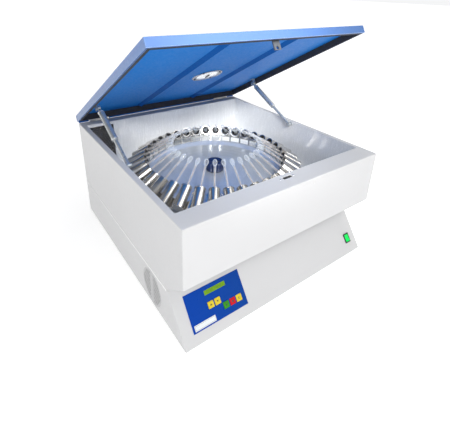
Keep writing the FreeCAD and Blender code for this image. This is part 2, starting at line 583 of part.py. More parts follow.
def rotor():
    """Disc with its raised rim, sleeves on their posts and ring, loaded butyrometers and the hub knob."""
    under = "disc_top - disc_thick"
    disc = turned("disc", [
        ("seat_radius", "disc_top - hub_length"),
        ("hub_radius", "disc_top - hub_length"),
        ("hub_radius", under),
        ("disc_flat_radius + disc_thick / 2", under),
        ("disc_radius", "disc_top + rim_rise - disc_thick / 2"),
        ("disc_radius + rim_flange / 2", "disc_top + rim_rise - disc_thick / 2"),
        ("disc_radius + rim_flange / 2", "disc_top + rim_rise"),
        ("disc_radius - rim_flange / 2", "disc_top + rim_rise"),
        ("disc_flat_radius", "disc_top"),
        ("seat_radius", "disc_top"),
    ])
    node("rotor_disc", place(disc, ("0", "rotor_y", "0")))

    knob = turned("knob", [
        ("thread_radius", "0"),
        ("knob_radius - knob_edge / 2", "0"),
        ("knob_radius", "knob_edge"),
        ("knob_radius", "knob_height - knob_edge"),
        ("knob_radius - knob_edge / 3", "knob_height - knob_edge / 3"),
        ("knob_radius - knob_edge", "knob_height"),
        ("0", "knob_height"),
        ("0", "thread_length"),
        ("thread_radius", "thread_length"),
    ])
    node("rotor_knob", place(knob, ("0", "rotor_y", "disc_top")))

    sleeve = turned("sleeve", [
        ("0", "0"),
        ("sleeve_radius - sleeve_wall", "0"),
        ("sleeve_radius", "sleeve_wall"),
        ("sleeve_radius", "sleeve_length - lip_length"),
        ("sleeve_radius + sleeve_lip", "sleeve_length - lip_length"),
        ("sleeve_radius + sleeve_lip", "sleeve_length"),
        ("sleeve_radius - sleeve_wall", "sleeve_length"),
        ("sleeve_radius - sleeve_wall", "sleeve_wall"),
        ("0", "sleeve_wall"),
    ])
    glass = turned("butyrometer", [
        ("0", "stopper_end"),
        ("glass_radius", "stopper_end"),
        ("glass_radius", "shoulder_start"),
        ("glass_radius / 2 + neck_radius / 2", "shoulder_end - shoulder_run"),
        ("neck_radius", "shoulder_end"),
        ("neck_radius", "neck_end"),
        ("bulb_radius", "neck_end * 0.6 + bulb_end * 0.4"),
        ("bulb_radius", "neck_end * 0.35 + bulb_end * 0.65"),
        ("bulb_radius * 0.7", "neck_end * 0.1 + bulb_end * 0.9"),
        ("bulb_radius * 0.25", "bulb_end"),
        ("0", "bulb_end"),
    ])
    stopper = turned("stopper", [
        ("0", "stopper_start"),
        ("stopper_radius - stopper_taper", "stopper_start"),
        ("stopper_radius", "stopper_end"),
        ("0", "stopper_end"),
    ])
    spots = tube_spots()
    node("rotor_sleeves", copies("sleeves", sleeve, spots))
    node("butyrometer_glass", copies("glasses", glass, spots))
    node("butyrometer_stoppers", copies("stoppers", stopper, spots))

    tilt = math.radians(value("tube_tilt"))
    foot = value("disc_top") + value("rim_rise")
    width, depth, thick = value("post_width"), value("post_depth"), value("arm_thick")
    radius = value("disc_radius") - depth / 2

    def saddle(at):
        """Height of the cone that the sleeves lie on, at a radius."""
        under_axis = value("sleeve_radius") / math.cos(tilt)
        return value("mouth_z") - under_axis - (at - value("mouth_radius")) * math.tan(tilt)

    upright = Part.makeBox(depth, width, saddle(radius) - foot, Vector(radius, -width / 2, foot))
    arm_length = (value("ring_outer") - radius) / math.cos(tilt)
    arm = Part.makeBox(arm_length, width, thick, Vector(0, -width / 2, 0))
    slant = Rotation(Vector(0, 1, 0), value("tube_tilt"))
    arm.Placement = Placement(Vector(radius, 0, saddle(radius)), slant)
    post = doc.addObject("Part::Feature", "post")
    post.Shape = upright.fuse(arm).removeSplitter()
    between = around(int(value("tube_count")), 0, 0, (0, value("rotor_y")))
    node("sleeve_posts", copies("posts", post, between))

    under_mouth = "mouth_z - sleeve_radius / cos(tube_tilt)"
    fall = "tan(tube_tilt)"
    inner_top = f"{under_mouth} - (ring_inner - mouth_radius) * {fall}"
    outer_top = f"{under_mouth} - (ring_outer - mouth_radius) * {fall}"
    ring = turned("ring", [
        ("ring_inner", f"{inner_top} - ring_thick"),
        ("ring_outer", f"{outer_top} - ring_thick"),
        ("ring_outer", outer_top),
        ("ring_inner", inner_top),
    ])
    node("sleeve_ring", place(ring, ("0", "rotor_y", "0")))


# ---------------------------------------------------------------- lid, hinges and stays

def lid():
    """Folded tray with an inward lip, its foam gasket, stiffening ribs, round window and striker."""
    depth = "lid_front - lid_back"
    height = "lid_high - lid_low"
    outer = padded("tray_outer", "XY_Plane", [
        ("-lid_width / 2", "-lid_front"),
        ("lid_width / 2", "-lid_front"),
        ("lid_width / 2", "-lid_back"),
        ("-lid_width / 2", "-lid_back"),
    ], height, "lid_sheet", lambda edge: edge.BoundBox.ZMax > 1)
    place(outer, ("0", "0", "(lid_high + lid_low) / 2"))
    shell = carry("tray_solid", outer)
    fold = box("tray_fold",
               ("lid_width - 2 * lid_sheet", f"{depth} - 2 * lid_sheet", f"{height} - 2 * lid_sheet"),
               ("-lid_width / 2 + lid_sheet", "-lid_front + lid_sheet", "lid_low + lid_sheet"))
    mouth = box("tray_mouth", ("lid_width - 2 * lid_lip", f"{depth} - 2 * lid_lip", "4 * lid_sheet"),
                ("-lid_width / 2 + lid_lip", "-lid_front + lid_lip", "lid_low - 2 * lid_sheet"))
    window = rod("tray_window", "window_radius", "8 * lid_sheet",
                 ("0", "-window_centre", "lid_high - 4 * lid_sheet"))
    node("lid_shell", on_lid(cut("tray", shell, fold, mouth, window)))

    foam = box("foam", ("lid_width - 2 * lid_lip", f"{depth} - 2 * lid_lip", f"{LID_INNER} - gasket_low"),
               ("-lid_width / 2 + lid_lip", "-lid_front + lid_lip", "gasket_low"))
    edge = "lid_lip + gasket_width"
    hollow = box("foam_hollow", (f"lid_width - 2 * ({edge})", f"{depth} - 2 * ({edge})", "2 * lid_high"),
                 (f"-lid_width / 2 + {edge}", f"-lid_front + {edge}", "-lid_high / 2"))
    node("lid_gasket", on_lid(cut("foam_frame", foam, hollow)))

    trim = "lid_lip + gasket_width + rib_margin"
    length = f"{depth} - 2 * ({trim})"
    rib = padded("rib_solid", "XZ_Plane", [
        ("-rib_width / 2", LID_INNER),
        ("0", f"{LID_INNER} - rib_depth"),
        ("rib_width / 2", LID_INNER),
    ], length)
    hollow_rib = padded("rib_hollow", "XZ_Plane", [
        ("-rib_width / 2 + 3 * rib_sheet", LID_INNER),
        ("0", f"{LID_INNER} - rib_depth + rib_sheet"),
        ("rib_width / 2 - 3 * rib_sheet", LID_INNER),
    ], f"{length} + rib_sheet")
    channel = cut("rib", rib, hollow_rib)
    middle = -(value("lid_front") + value("lid_back")) / 2
    pair = copies("ribs", channel, [Placement(Vector(side * value("rib_offset"), middle, 0), Rotation())
                                    for side in (-1, 1)])
    node("lid_ribs", on_lid(pair))

    pane = rod("pane_disc", "pane_radius", "pane_thick", ("0", "-window_centre", f"{LID_INNER} - pane_thick"))
    drills = []
    for i in range(4):
        drills.append(rod(f"pane_hole{i}", "lock_screw_radius + joint_gap / 2", "3 * pane_thick", (
            f"pane_screw_ring * cos(45 + {90 * i})",
            f"-window_centre + pane_screw_ring * sin(45 + {90 * i})",
            f"{LID_INNER} - 2 * pane_thick")))
    node("lid_window", on_lid(cut("pane", pane, *drills)))

    screw = turned("pane_screw", [
        ("0", "0"),
        ("lock_screw_radius", "0"),
        ("lock_screw_radius", "-pane_thick"),
        ("lock_head_radius", "-pane_thick"),
        ("lock_head_radius - lid_sheet / 2", "-pane_thick - lid_sheet"),
        ("0", "-pane_thick - lid_sheet"),
    ])
    inner = value("lid_high") - value("lid_sheet")
    ring = around(4, value("pane_screw_ring"), 45, (0, -value("window_centre")))
    lift = Placement(Vector(0, 0, inner), Rotation())
    node("window_screws", on_lid(copies("pane_screws", screw, [lift.multiply(spot) for spot in ring])))

    strike_y = "front_y + slot_y - hinge_y"
    tongue = box("tongue", ("striker_width", "striker_thick", f"{LID_INNER} + striker_drop"),
                 ("-striker_width / 2", f"{strike_y} - striker_thick / 2", "-striker_drop"))
    flange = box("tongue_flange", ("striker_width", "4 * striker_thick", "striker_thick"),
                 ("-striker_width / 2", f"{strike_y} - striker_thick / 2", f"{LID_INNER} - striker_thick"))
    eye = rod("tongue_eye", "bolt_radius + 3 * joint_gap", "4 * striker_thick",
              ("0", f"{strike_y} - 2 * striker_thick", "bolt_z - hinge_z"), "y")
    node("lid_striker", on_lid(cut("striker", fuse("striker_plate", tongue, flange), eye)))


def hinges():
    """Two butt hinges on the back edge: casing leaves, lid leaves with the middle knuckle, and pins."""
    outer_run = "(hinge_half - knuckle_half) - joint_gap"
    drop = "-lid_back - leaf_thick"
    back = box("leaf", ("2 * hinge_half", "leaf_thick", "leaf_drop"),
               ("-hinge_half", drop, "-leaf_clear - leaf_drop"))
    pieces = [back]
    for hand, start in ((-1, "-hinge_half"), (1, "knuckle_half + joint_gap")):
        pieces.append(rod(f"leaf_knuckle{hand:+d}", "knuckle_radius", outer_run, (start, "0", "0"), "x"))
        pieces.append(box(f"leaf_web{hand:+d}", (outer_run, "lid_back", "leaf_clear - 2 * web_lap"),
                          (start, drop, "-leaf_clear - web_lap")))
    bore = rod("leaf_bore", "hinge_pin_radius", "3 * hinge_half", ("-1.5 * hinge_half", "0", "0"), "x")
    casing_leaf = cut("casing_leaf", fuse("leaf_solid", *pieces), bore)
    spots = [Placement(Vector(hand * value("hinge_offset"), value("hinge_y"), value("hinge_z")), Rotation())
             for hand in (-1, 1)]
    node("hinge_casing_leaves", copies("casing_leaves", casing_leaf, spots))

    pin = rod("pin", "hinge_pin_radius", "2 * hinge_half", ("-hinge_half", "0", "0"), "x")
    node("hinge_pins", copies("pins", pin, spots))

    upper = box("lid_leaf", ("2 * hinge_half", "leaf_thick", "leaf_rise - leaf_clear"),
                ("-hinge_half", "-lid_back", "leaf_clear"))
    web = box("lid_web", ("2 * knuckle_half", "lid_back - leaf_thick", "leaf_clear"),
              ("-knuckle_half", "-lid_back", "2 * web_lap"))
    barrel = rod("lid_knuckle", "knuckle_radius", "2 * knuckle_half", ("-knuckle_half", "0", "0"), "x")
    clear = rod("lid_bore", "hinge_pin_radius + bearing_play", "3 * hinge_half",
                ("-1.5 * hinge_half", "0", "0"), "x")
    lid_leaf = cut("lid_leaf_bored", fuse("lid_leaf_solid", upper, web, barrel), clear)
    pair = copies("lid_leaves", lid_leaf, [Placement(Vector(hand * value("hinge_offset"), 0, 0), Rotation())
                                           for hand in (-1, 1)])
    node("hinge_lid_leaves", on_lid(pair))


def stays():
    """Telescopic stays inside the side walls: wall studs, rods, barrels and the brackets under the lid."""
    wall = value("body_width") / 2 - value("side_rim")
    centre, eye = value("stay_offset"), value("eye_width")
    thick, inwards = value("sheet"), Vector(-1, 0, 0)
    pin_length = wall - centre + eye / 2 + value("stud_gap")
    base = Part.makeCylinder(value("stud_base_radius"), thick, Vector(wall, 0, 0), inwards)
    pin = Part.makeCylinder(value("stay_pin_radius"), pin_length, Vector(wall, 0, 0), inwards)
    cap = Part.makeCylinder(value("stud_cap_radius"), thick, Vector(wall - pin_length, 0, 0), inwards)
    right_stud = doc.addObject("Part::Feature", "stud")
    right_stud.Shape = base.fuse(pin).fuse(cap).removeSplitter()
    foot = Vector(0, value("stay_foot_y"), value("stay_foot_z"))
    flip = Rotation(Vector(0, 0, 1), 180)
    feet = [Placement(foot, Rotation()), Placement(foot, flip)]
    node("stay_wall_studs", copies("studs", right_stud, feet))

    inner_end = f"{STAY_LENGTH} - barrel_tail"
    for side, hand in (("left", -1), ("right", 1)):
        middle = f"{hand} * stay_offset"
        foot_at = (middle, "stay_foot_y", "stay_foot_z")
        ring = rod(f"{side}_foot_eye", "eye_radius", "eye_width", ("-eye_width / 2", "0", "0"), "x")
        bar = rod(f"{side}_bar", "rod_radius", "rod_end - eye_radius / 2", ("0", "eye_radius / 2", "0"), "y")
        piston = rod(f"{side}_piston", "piston_radius", "piston_length",
                     ("0", "rod_end - piston_length", "0"), "y")
        hole = rod(f"{side}_foot_hole", "stay_pin_radius + stay_play", "2 * eye_width",
                   ("-eye_width", "0", "0"), "x")
        rod_part = cut(f"{side}_rod", fuse(f"{side}_rod_solid", ring, bar, piston), hole)
        node(f"stay_rod_{side}", place(rod_part, foot_at, (1, 0, 0), STAY_ANGLE))

        tube = rod(f"{side}_tube", "barrel_radius", f"{inner_end} - barrel_start",
                   ("0", "barrel_start", "0"), "y")
        top_eye = rod(f"{side}_top_eye", "eye_radius", "eye_width",
                      ("-eye_width / 2", STAY_LENGTH, "0"), "x")
        neck = rod(f"{side}_neck", "neck_half", "barrel_tail", ("0", inner_end, "0"), "y")
        gland = rod(f"{side}_gland", "rod_radius + stay_play", "2 * gland_length",
                    ("0", "barrel_start - gland_length", "0"), "y")
        cavity = rod(f"{side}_cavity", "barrel_bore", f"{inner_end} - barrel_start - 1.5 * gland_length",
                     ("0", "barrel_start + gland_length", "0"), "y")
        top_hole = rod(f"{side}_top_hole", "stay_pin_radius", "2 * eye_width",
                       ("-eye_width", STAY_LENGTH, "0"), "x")
        solid = fuse(f"{side}_barrel_solid", tube, top_eye, neck)
        barrel = cut(f"{side}_barrel", solid, gland, cavity, top_hole)
        node(f"stay_barrel_{side}", place(barrel, foot_at, (1, 0, 0), STAY_ANGLE))

    plate = box("bracket_plate", ("bracket_thick", "2 * bracket_half", f"{LID_INNER} + eye_radius"),
                ("stay_offset + bracket_gap", "-pivot_reach - bracket_half", "-eye_radius"))
    tab = box("bracket_tab", ("bracket_gap + eye_width", "2 * bracket_half", "bracket_thick"),
              ("stay_offset - eye_width + bracket_thick", "-pivot_reach - bracket_half",
               f"{LID_INNER} - bracket_thick"))
    peg = rod("bracket_peg", "stay_pin_radius",
              "bracket_gap - eye_width / 2 - 2 * joint_gap + bracket_thick / 2",
              ("stay_offset + eye_width / 2 + 2 * joint_gap", "-pivot_reach", "0"), "x")
    bracket = fuse("bracket", plate, tab, peg)
    mirrored = Placement(Vector(0, -2 * value("pivot_reach"), 0), flip)
    node("stay_lid_brackets", on_lid(copies("brackets", bracket, [Placement(), mirrored])))


def lock():
    """Slotted lock plate under the front rim, its screws, the lock block and the bolt for the striker."""
    slot_mid = "front_y + slot_y"
    plate = middle_box("slot_plate", ("lock_plate_width", "lock_plate_depth", "lock_plate_thick"),
                       ("0", slot_mid, f"{RIM_UNDER} - lock_plate_thick / 2"))
    slot = middle_box("slot_hole", ("slot_width", "slot_depth", "8 * lock_plate_thick"),
                      ("0", slot_mid, RIM_UNDER))
    holes = [rod(f"slot_screw_hole{side:+d}", "lock_screw_radius + joint_gap / 2", "6 * lock_plate_thick",
                 (f"{side} * lock_screw_pitch / 2", slot_mid, f"{RIM_UNDER} - 3 * lock_plate_thick"))
             for side in (-1, 1)]
    node("lock_plate", cut("slot_plate_open", plate, slot, *holes))

    screw = turned("lock_screw", [
        ("0", f"{RIM_UNDER} - lock_plate_thick"),
        ("lock_screw_radius", f"{RIM_UNDER} - lock_plate_thick"),
        ("lock_screw_radius", "top_height"),
        ("lock_head_radius", "top_height"),
        ("lock_head_radius - lock_plate_thick / 2", "top_height + lock_plate_thick - joint_gap"),
        ("0", "top_height + lock_plate_thick - joint_gap"),
    ])
    y = value("front_y") + value("slot_y")
    node("lock_screws", copies("lock_screw_pair", screw, [
        Placement(Vector(side * value("lock_screw_pitch") / 2, y, 0), Rotation()) for side in (-1, 1)]))

    block_top = f"{RIM_UNDER} - lock_plate_thick"
    block = box("lock_block", ("lock_width", "lock_depth", f"{block_top} - lock_low"),
                ("-lock_width / 2", f"{slot_mid} + lock_back - lock_depth", "lock_low"))
    well = box("lock_well", ("slot_width", "slot_depth", f"{block_top} - lock_low"),
               ("-slot_width / 2", f"{slot_mid} - slot_depth / 2", "lock_low + 2 * sheet"))
    bore = rod("lock_bore", "bolt_radius + joint_gap", "lock_depth - 2 * sheet",
               ("0", f"{slot_mid} + lock_back - lock_depth", "bolt_z"), "y")
    node("lock_housing", cut("lock_case", block, well, bore))

    bolt = rod("bolt", "bolt_radius", "bolt_length",
               ("0", f"{slot_mid} - slot_depth / 2 - bolt_length - joint_gap", "bolt_z"), "y")
    node("lock_bolt", bolt)


# ---------------------------------------------------------------- controls and power

def controls():
    """Key panel with display, five keys, a blank label plate and its circuit board, and the rocker switch."""
    panel = middle_box("overlay", ("panel_width", "panel_height", "panel_thick"),
                       ("panel_x", "panel_s", "panel_thick / 2"))
    cuts = [middle_box("overlay_display", ("display_width", "display_height", "4 * panel_thick"),
                       ("display_x", "display_s", "0"))]
    for name, (x, row) in KEYS.items():
        opening = "key_size + 2 * key_play"
        cuts.append(middle_box(f"overlay_{name}", (opening, opening, "4 * panel_thick"), (x, row, "0")))
        cap = padded(name + "_cap", "XY_Plane", [
            (f"{x} - key_size / 2", f"{row} - key_size / 2"),
            (f"{x} + key_size / 2", f"{row} - key_size / 2"),
            (f"{x} + key_size / 2", f"{row} + key_size / 2"),
            (f"{x} - key_size / 2", f"{row} + key_size / 2"),
        ], "key_depth", "key_proud", lambda edge: edge.BoundBox.ZLength > 1)
        place(cap, ("0", "0", "panel_thick + key_proud - key_depth / 2"))
        node(name, on_panel(carry(name + "_solid", cap)))
    node("control_panel", on_panel(cut("overlay_cut", panel, *cuts)))

    pane = middle_box("display_pane",
                      ("display_width - joint_gap", "display_height - joint_gap", "panel_thick"),
                      ("display_x", "display_s", "panel_thick / 2"))
    node("display_window", on_panel(carry("display_glass", pane)))

    plate = middle_box("label", ("label_width", "label_height", "label_thick"),
                       ("label_x", "label_s", "panel_thick + label_thick / 2"))
    node("label_plate", on_panel(carry("label_solid", plate)))

    board = middle_box("board_sheet", ("board_width - 3 * sheet", "board_height - 2 * sheet", "board_thick"),
                       ("panel_x", "board_s", "-board_back + board_thick / 2"))
    space = "(board_back - board_thick)"
    screen = middle_box("board_screen", ("display_width + 4 * sheet", "display_height + sheet", space),
                        ("display_x", "display_s - sheet / 2", f"-{space} / 2"))
    switches = [middle_box(f"board_{name}", ("3 * sheet", "3 * sheet", f"{space} - key_depth"),
                           (x, row, f"-{space} + ({space} - key_depth) / 2"))
                for name, (x, row) in KEYS.items()]
    node("control_board", on_panel(fuse("board", board, screen, *switches)))

    flange = middle_box("switch_flange", ("switch_width", "switch_height", "switch_flange"),
                        ("switch_x", "switch_s", "switch_flange / 2"))
    body = middle_box("switch_block",
                      ("switch_width - 2 * sheet - 2 * joint_gap", "switch_height - sheet - 2 * joint_gap",
                       "switch_body"),
                      ("switch_x", "switch_s", "-switch_body / 2"))
    well = middle_box("switch_well",
                      ("rocker_width + 2 * rocker_play", "rocker_length + 5 * rocker_play", "switch_body"),
                      ("switch_x", "switch_s", "-switch_body / 2 + switch_flange + well_proud"))
    node("switch_frame", on_panel(cut("switch_case", fuse("switch_solid", flange, body), well)))

    rocker = padded("rocker_shape", "YZ_Plane", [
        ("-rocker_length / 2", "rocker_proud"),
        ("-rocker_length / 2", "0"),
        ("-rocker_length / 5", "-rocker_deep"),
        ("rocker_length / 5", "-rocker_deep"),
        ("rocker_length / 2", "0"),
        ("rocker_length / 2", "rocker_proud"),
        ("rocker_length / 4", "rocker_dip * 1.2"),
        ("0", "rocker_dip"),
        ("-rocker_length / 4", "rocker_dip * 1.2"),
    ], "rocker_width")
    place(rocker, ("switch_x", "switch_s", "0"), (1, 0, 0), "-rocker_tilt")
    node("rocker_button", on_panel(carry("rocker_solid", rocker)))


def power():
    """Mains inlet with its blades and fuse drawer in the back, and the drive electronics inside."""
    flange = middle_box("inlet_flange", ("inlet_width", "inlet_flange", "inlet_height"),
                        ("inlet_x", f"{REAR} + inlet_flange / 2", "inlet_z"))
    body = middle_box("inlet_block", ("inlet_width - 3 * sheet - 2 * joint_gap", "inlet_body",
                                      "inlet_height - 3 * sheet - 2 * joint_gap"),
                      ("inlet_x", f"{REAR} - inlet_body / 2", "inlet_z"))
    socket = middle_box("inlet_socket", ("socket_width", "2 * socket_depth", "socket_height"),
                        ("inlet_x", f"{REAR} + inlet_flange", "inlet_z + socket_rise"))
    drawer_hole = middle_box("inlet_drawer_hole",
                             ("fuse_width + joint_gap", "2 * socket_depth", "fuse_height + joint_gap"),
                             ("inlet_x", f"{REAR} + inlet_flange", "inlet_z - fuse_drop"))
    node("mains_inlet", cut("inlet", fuse("inlet_solid", flange, body), socket, drawer_hole))

    pin_y = value("front_y") + value("body_depth") + value("inlet_flange") - value("socket_depth")
    blade = Part.makeBox(value("pin_width"), value("pin_length"), value("pin_height"),
                         Vector(-value("pin_width") / 2, pin_y, -value("pin_height") / 2))
    pin = doc.addObject("Part::Feature", "blade")
    pin.Shape = blade
    middle, high = value("inlet_x"), value("inlet_z") + value("socket_rise")
    spread, rise = value("pin_spread"), value("pin_height") / 2
    corners = ((-spread, -rise), (spread, -rise), (0, 1.5 * rise))
    spots = [Placement(Vector(middle + x, 0, high + z), Rotation()) for x, z in corners]
    node("inlet_pins", copies("blades", pin, spots))

    drawer = middle_box("drawer", ("fuse_width", "socket_depth + inlet_flange / 3", "fuse_height"),
                        ("inlet_x", f"{REAR} + inlet_flange - socket_depth / 2 + inlet_flange / 6",
                         "inlet_z - fuse_drop"))
    node("fuse_drawer", drawer)

    base = "foot_height + plate_thick"
    level = f"{base} + supply_stand"
    board = box("supply_board", ("supply_width", "supply_length", "board_thick"),
                ("supply_x", "supply_y", level))
    ends_x = ("supply_x + leg_inset", "supply_x + supply_width - leg_inset")
    ends_y = ("supply_y + leg_inset", "supply_y + supply_length - leg_inset")
    legs = [rod(f"supply_leg{i}{j}", "leg_radius", "supply_stand", (x, y, base))
            for i, x in enumerate(ends_x) for j, y in enumerate(ends_y)]
    choke = box("supply_choke", ("choke_width", "choke_length", "choke_height"),
                ("choke_x", "choke_y", level))
    sink = box("supply_sink", ("sink_width", "sink_length", "sink_height"), ("sink_x", "sink_y", level))
    cans = [rod(f"supply_can{i}", "can_radius", "can_height", (f"can_x + {i} * can_pitch", "can_y", level))
            for i in range(3)]
    node("drive_electronics", fuse("supply", board, choke, sink, *legs, *cans))


def main():
    """Build every sub-part, check the document and write one file per sub-part."""
    upper_casing()
    lower_casing()
    floor_pieces()
    chamber()
    vents_and_fan()
    drive()
    rotor()
    lid()
    hinges()
    stays()
    lock()
    controls()
    power()
    doc.recompute()
    failed = [thing.Name for thing in doc.Objects if {"Invalid", "Error"} & set(thing.State)]
    broken = [name for name, thing in nodes.items() if thing.Shape.isNull() or not thing.Shape.isValid()
              or not thing.Shape.Solids]
    if failed or broken:
        raise RuntimeError(f"failed objects {failed}, broken sub-parts {broken}")
    os.makedirs("parts", exist_ok=True)
    for name, thing in nodes.items():
        thing.Shape.exportStep(os.path.join("parts", name + ".step"))
    print(len(nodes), "sub-parts,", sum(len(thing.Shape.Solids) for thing in nodes.values()), "solids")


main()
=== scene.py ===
"""Benchtop butyrometer centrifuge with its lid propped open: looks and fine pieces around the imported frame.

Metres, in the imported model's frame: +Z up, X across, -Y to the operator.
"""

import math

import bmesh
import bpy
from mathutils import Matrix, Vector


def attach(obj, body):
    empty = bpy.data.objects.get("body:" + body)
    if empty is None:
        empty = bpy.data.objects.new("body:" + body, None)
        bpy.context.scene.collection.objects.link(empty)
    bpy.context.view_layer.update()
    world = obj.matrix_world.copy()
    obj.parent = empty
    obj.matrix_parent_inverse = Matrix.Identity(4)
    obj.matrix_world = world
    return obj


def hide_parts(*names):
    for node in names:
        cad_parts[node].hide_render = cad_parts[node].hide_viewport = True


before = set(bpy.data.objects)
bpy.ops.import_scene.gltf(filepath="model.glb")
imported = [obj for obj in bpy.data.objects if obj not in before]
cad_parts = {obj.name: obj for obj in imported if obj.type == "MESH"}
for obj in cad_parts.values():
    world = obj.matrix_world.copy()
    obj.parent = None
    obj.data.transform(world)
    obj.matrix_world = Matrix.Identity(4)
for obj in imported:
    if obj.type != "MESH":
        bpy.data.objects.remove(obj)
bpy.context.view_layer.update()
MM = 0.001

# Sizes and frames that repeat the CAD model's own
ROTOR_CENTRE = Vector((0, 8 * MM, 0))
TUBE_COUNT = 36
TUBE_TILT = math.radians(30)
SLEEVE_LENGTH = 64 * MM
MOUTH_RADIUS = 207 * MM
MOUTH_Z = 268 * MM
DISC_TOP = 218 * MM
FRONT_Y = -333 * MM
TOP_Z = 330 * MM
LID_OPEN = math.radians(29)
LID_INNER = 18 * MM
WINDOW_CENTRE = 327 * MM
PIVOT_REACH = 178 * MM
STAY_X = 285 * MM
STAY_FOOT = Vector((0, -19 * MM, 321 * MM))
HINGE = Vector((0, 335 * MM, 331.5 * MM))
LID_FRAME = Matrix.Translation(HINGE) @ Matrix.Rotation(-LID_OPEN, 4, "X")
PANEL_FRAME = Matrix.Translation((0, -340 * MM, 10 * MM)) @ Matrix.Rotation(math.atan2(111, 82), 4, "X")


# ---------------------------------------------------------------- shader building

class Shader:
    """A node material with short ways to add the nodes of its grain, tint and gloss."""

    def __init__(self, name, color, **sockets):
        self.material = bpy.data.materials.new(name)
        self.material.use_nodes = True
        self.nodes = self.material.node_tree.nodes
        self.links = self.material.node_tree.links
        self.bsdf = self.nodes["Principled BSDF"]
        self.color = color
        self.bsdf.inputs["Base Color"].default_value = (*color, 1)
        for socket, number in sockets.items():
            self.bsdf.inputs[socket.replace("_", " ").title()].default_value = number
        self.place = self.add("ShaderNodeTexCoord").outputs["Object"]

    def add(self, kind, inputs=None, **settings):
        made = self.nodes.new(kind)
        for key, number in settings.items():
            setattr(made, key, number)
        for key, source in (inputs or {}).items():
            if isinstance(source, bpy.types.NodeSocket):
                self.links.new(source, made.inputs[key])
            else:
                made.inputs[key].default_value = source
        return made

    def stretched(self, scale):
        """Object coordinates scaled apart along each axis, for a grain with a direction."""
        return self.add("ShaderNodeMapping", {"Vector": self.place, "Scale": scale}).outputs[0]

    def noise(self, scale, detail=3.0, vector=None, roughness=0.5):
        inputs = {"Vector": vector or self.place, "Scale": scale, "Detail": detail, "Roughness": roughness}
        return self.add("ShaderNodeTexNoise", inputs).outputs["Fac"]

    def cells(self, scale, feature="F1", vector=None):
        inputs = {"Vector": vector or self.place, "Scale": scale}
        return self.add("ShaderNodeTexVoronoi", inputs, feature=feature).outputs["Distance"]

    def band(self, source, low, high, to_low=0.0, to_high=1.0):
        inputs = {"Value": source, "From Min": low, "From Max": high, "To Min": to_low, "To Max": to_high}
        return self.add("ShaderNodeMapRange", inputs).outputs[0]

    def maths(self, operation, first, second=0.0):
        return self.add("ShaderNodeMath", {0: first, 1: second}, operation=operation).outputs[0]

    def tint(self, factor, dark, light):
        """Base colour between two colours by a factor; returns the mix for layering."""
        mix = self.add("ShaderNodeMix", data_type="RGBA")
        self.links.new(factor, mix.inputs[0])
        for slot_index, color in ((6, dark), (7, light)):
            if isinstance(color, bpy.types.NodeSocket):
                self.links.new(color, mix.inputs[slot_index])
            else:
                mix.inputs[slot_index].default_value = (*color, 1)
        self.links.new(mix.outputs[2], self.bsdf.inputs["Base Color"])
        return mix.outputs[2]

    def rough(self, source):
        self.links.new(source, self.bsdf.inputs["Roughness"])

    def bump(self, height, strength, depth):
        """Surface relief of a height field; several are stacked one on another."""
        relief = self.add("ShaderNodeBump", {"Height": height, "Strength": strength, "Distance": depth})
        if self.bsdf.inputs["Normal"].is_linked:
            self.links.new(self.bsdf.inputs["Normal"].links[0].from_socket, relief.inputs["Normal"])
        self.links.new(relief.outputs[0], self.bsdf.inputs["Normal"])

    def worn(self, base, edge_color, low=0.53, high=0.58):
        """Colour rubbed towards another on the convex edges of a finely divided mesh."""
        edge = self.add("ShaderNodeNewGeometry").outputs["Pointiness"]
        patchy = self.maths("MULTIPLY", self.band(edge, low, high), self.band(self.noise(90), 0.35, 0.65))
        return self.tint(patchy, base, edge_color)

    def edge_wear_and_highlight(self, base, edge_color, radius):
        """Colour shifted towards another within a radius of any sharp edge, whatever the mesh: rubbed wear on
        the blue and the motor paint, a painted highlight along the white coat's edges.
        """
        rounded = self.add("ShaderNodeBevel", {"Radius": radius}, samples=4).outputs[0]
        flat = self.add("ShaderNodeNewGeometry").outputs["Normal"]
        both = {0: rounded, 1: flat}
        same = self.add("ShaderNodeVectorMath", both, operation="DOT_PRODUCT").outputs["Value"]
        near_edge = self.band(same, 0.99, 0.9)
        patches = self.band(self.noise(40), 0.3, 0.55, 0.4)
        return self.tint(self.maths("MULTIPLY", near_edge, patches), base, edge_color)


def scaled(color, factor):
    return tuple(min(1.0, part * factor) for part in color)


def coat(name, color, roughness, peel=0.25, gloss=0.25, edge_color=None, specular=0.5):
    """Powder coat: fine orange peel, slow drift of tone and paler edges under a thin gloss; the paler edges
    are rubbed wear, and on the white coat a painted highlight.
    """
    shader = Shader(name, color, roughness=roughness)
    shader.bsdf.inputs["Coat Weight"].default_value = gloss
    shader.bsdf.inputs["Coat Roughness"].default_value = roughness * 0.55
    shader.bsdf.inputs["Specular IOR Level"].default_value = specular
    drift = shader.tint(shader.noise(7, 4), scaled(color, 0.975), scaled(color, 1.02))
    # Paler edges: worn paint, and on the white coat a painted edge highlight.
    if edge_color:
        shader.edge_wear_and_highlight(drift, edge_color, 1.6 * MM)
    shader.rough(shader.band(shader.noise(160, 2), 0.3, 0.7, roughness * 0.85, roughness * 1.15))
    shader.bump(shader.noise(900, 2), peel, 0.00006)
    shader.bump(shader.cells(2400), peel * 0.4, 0.00003)
    return shader.material


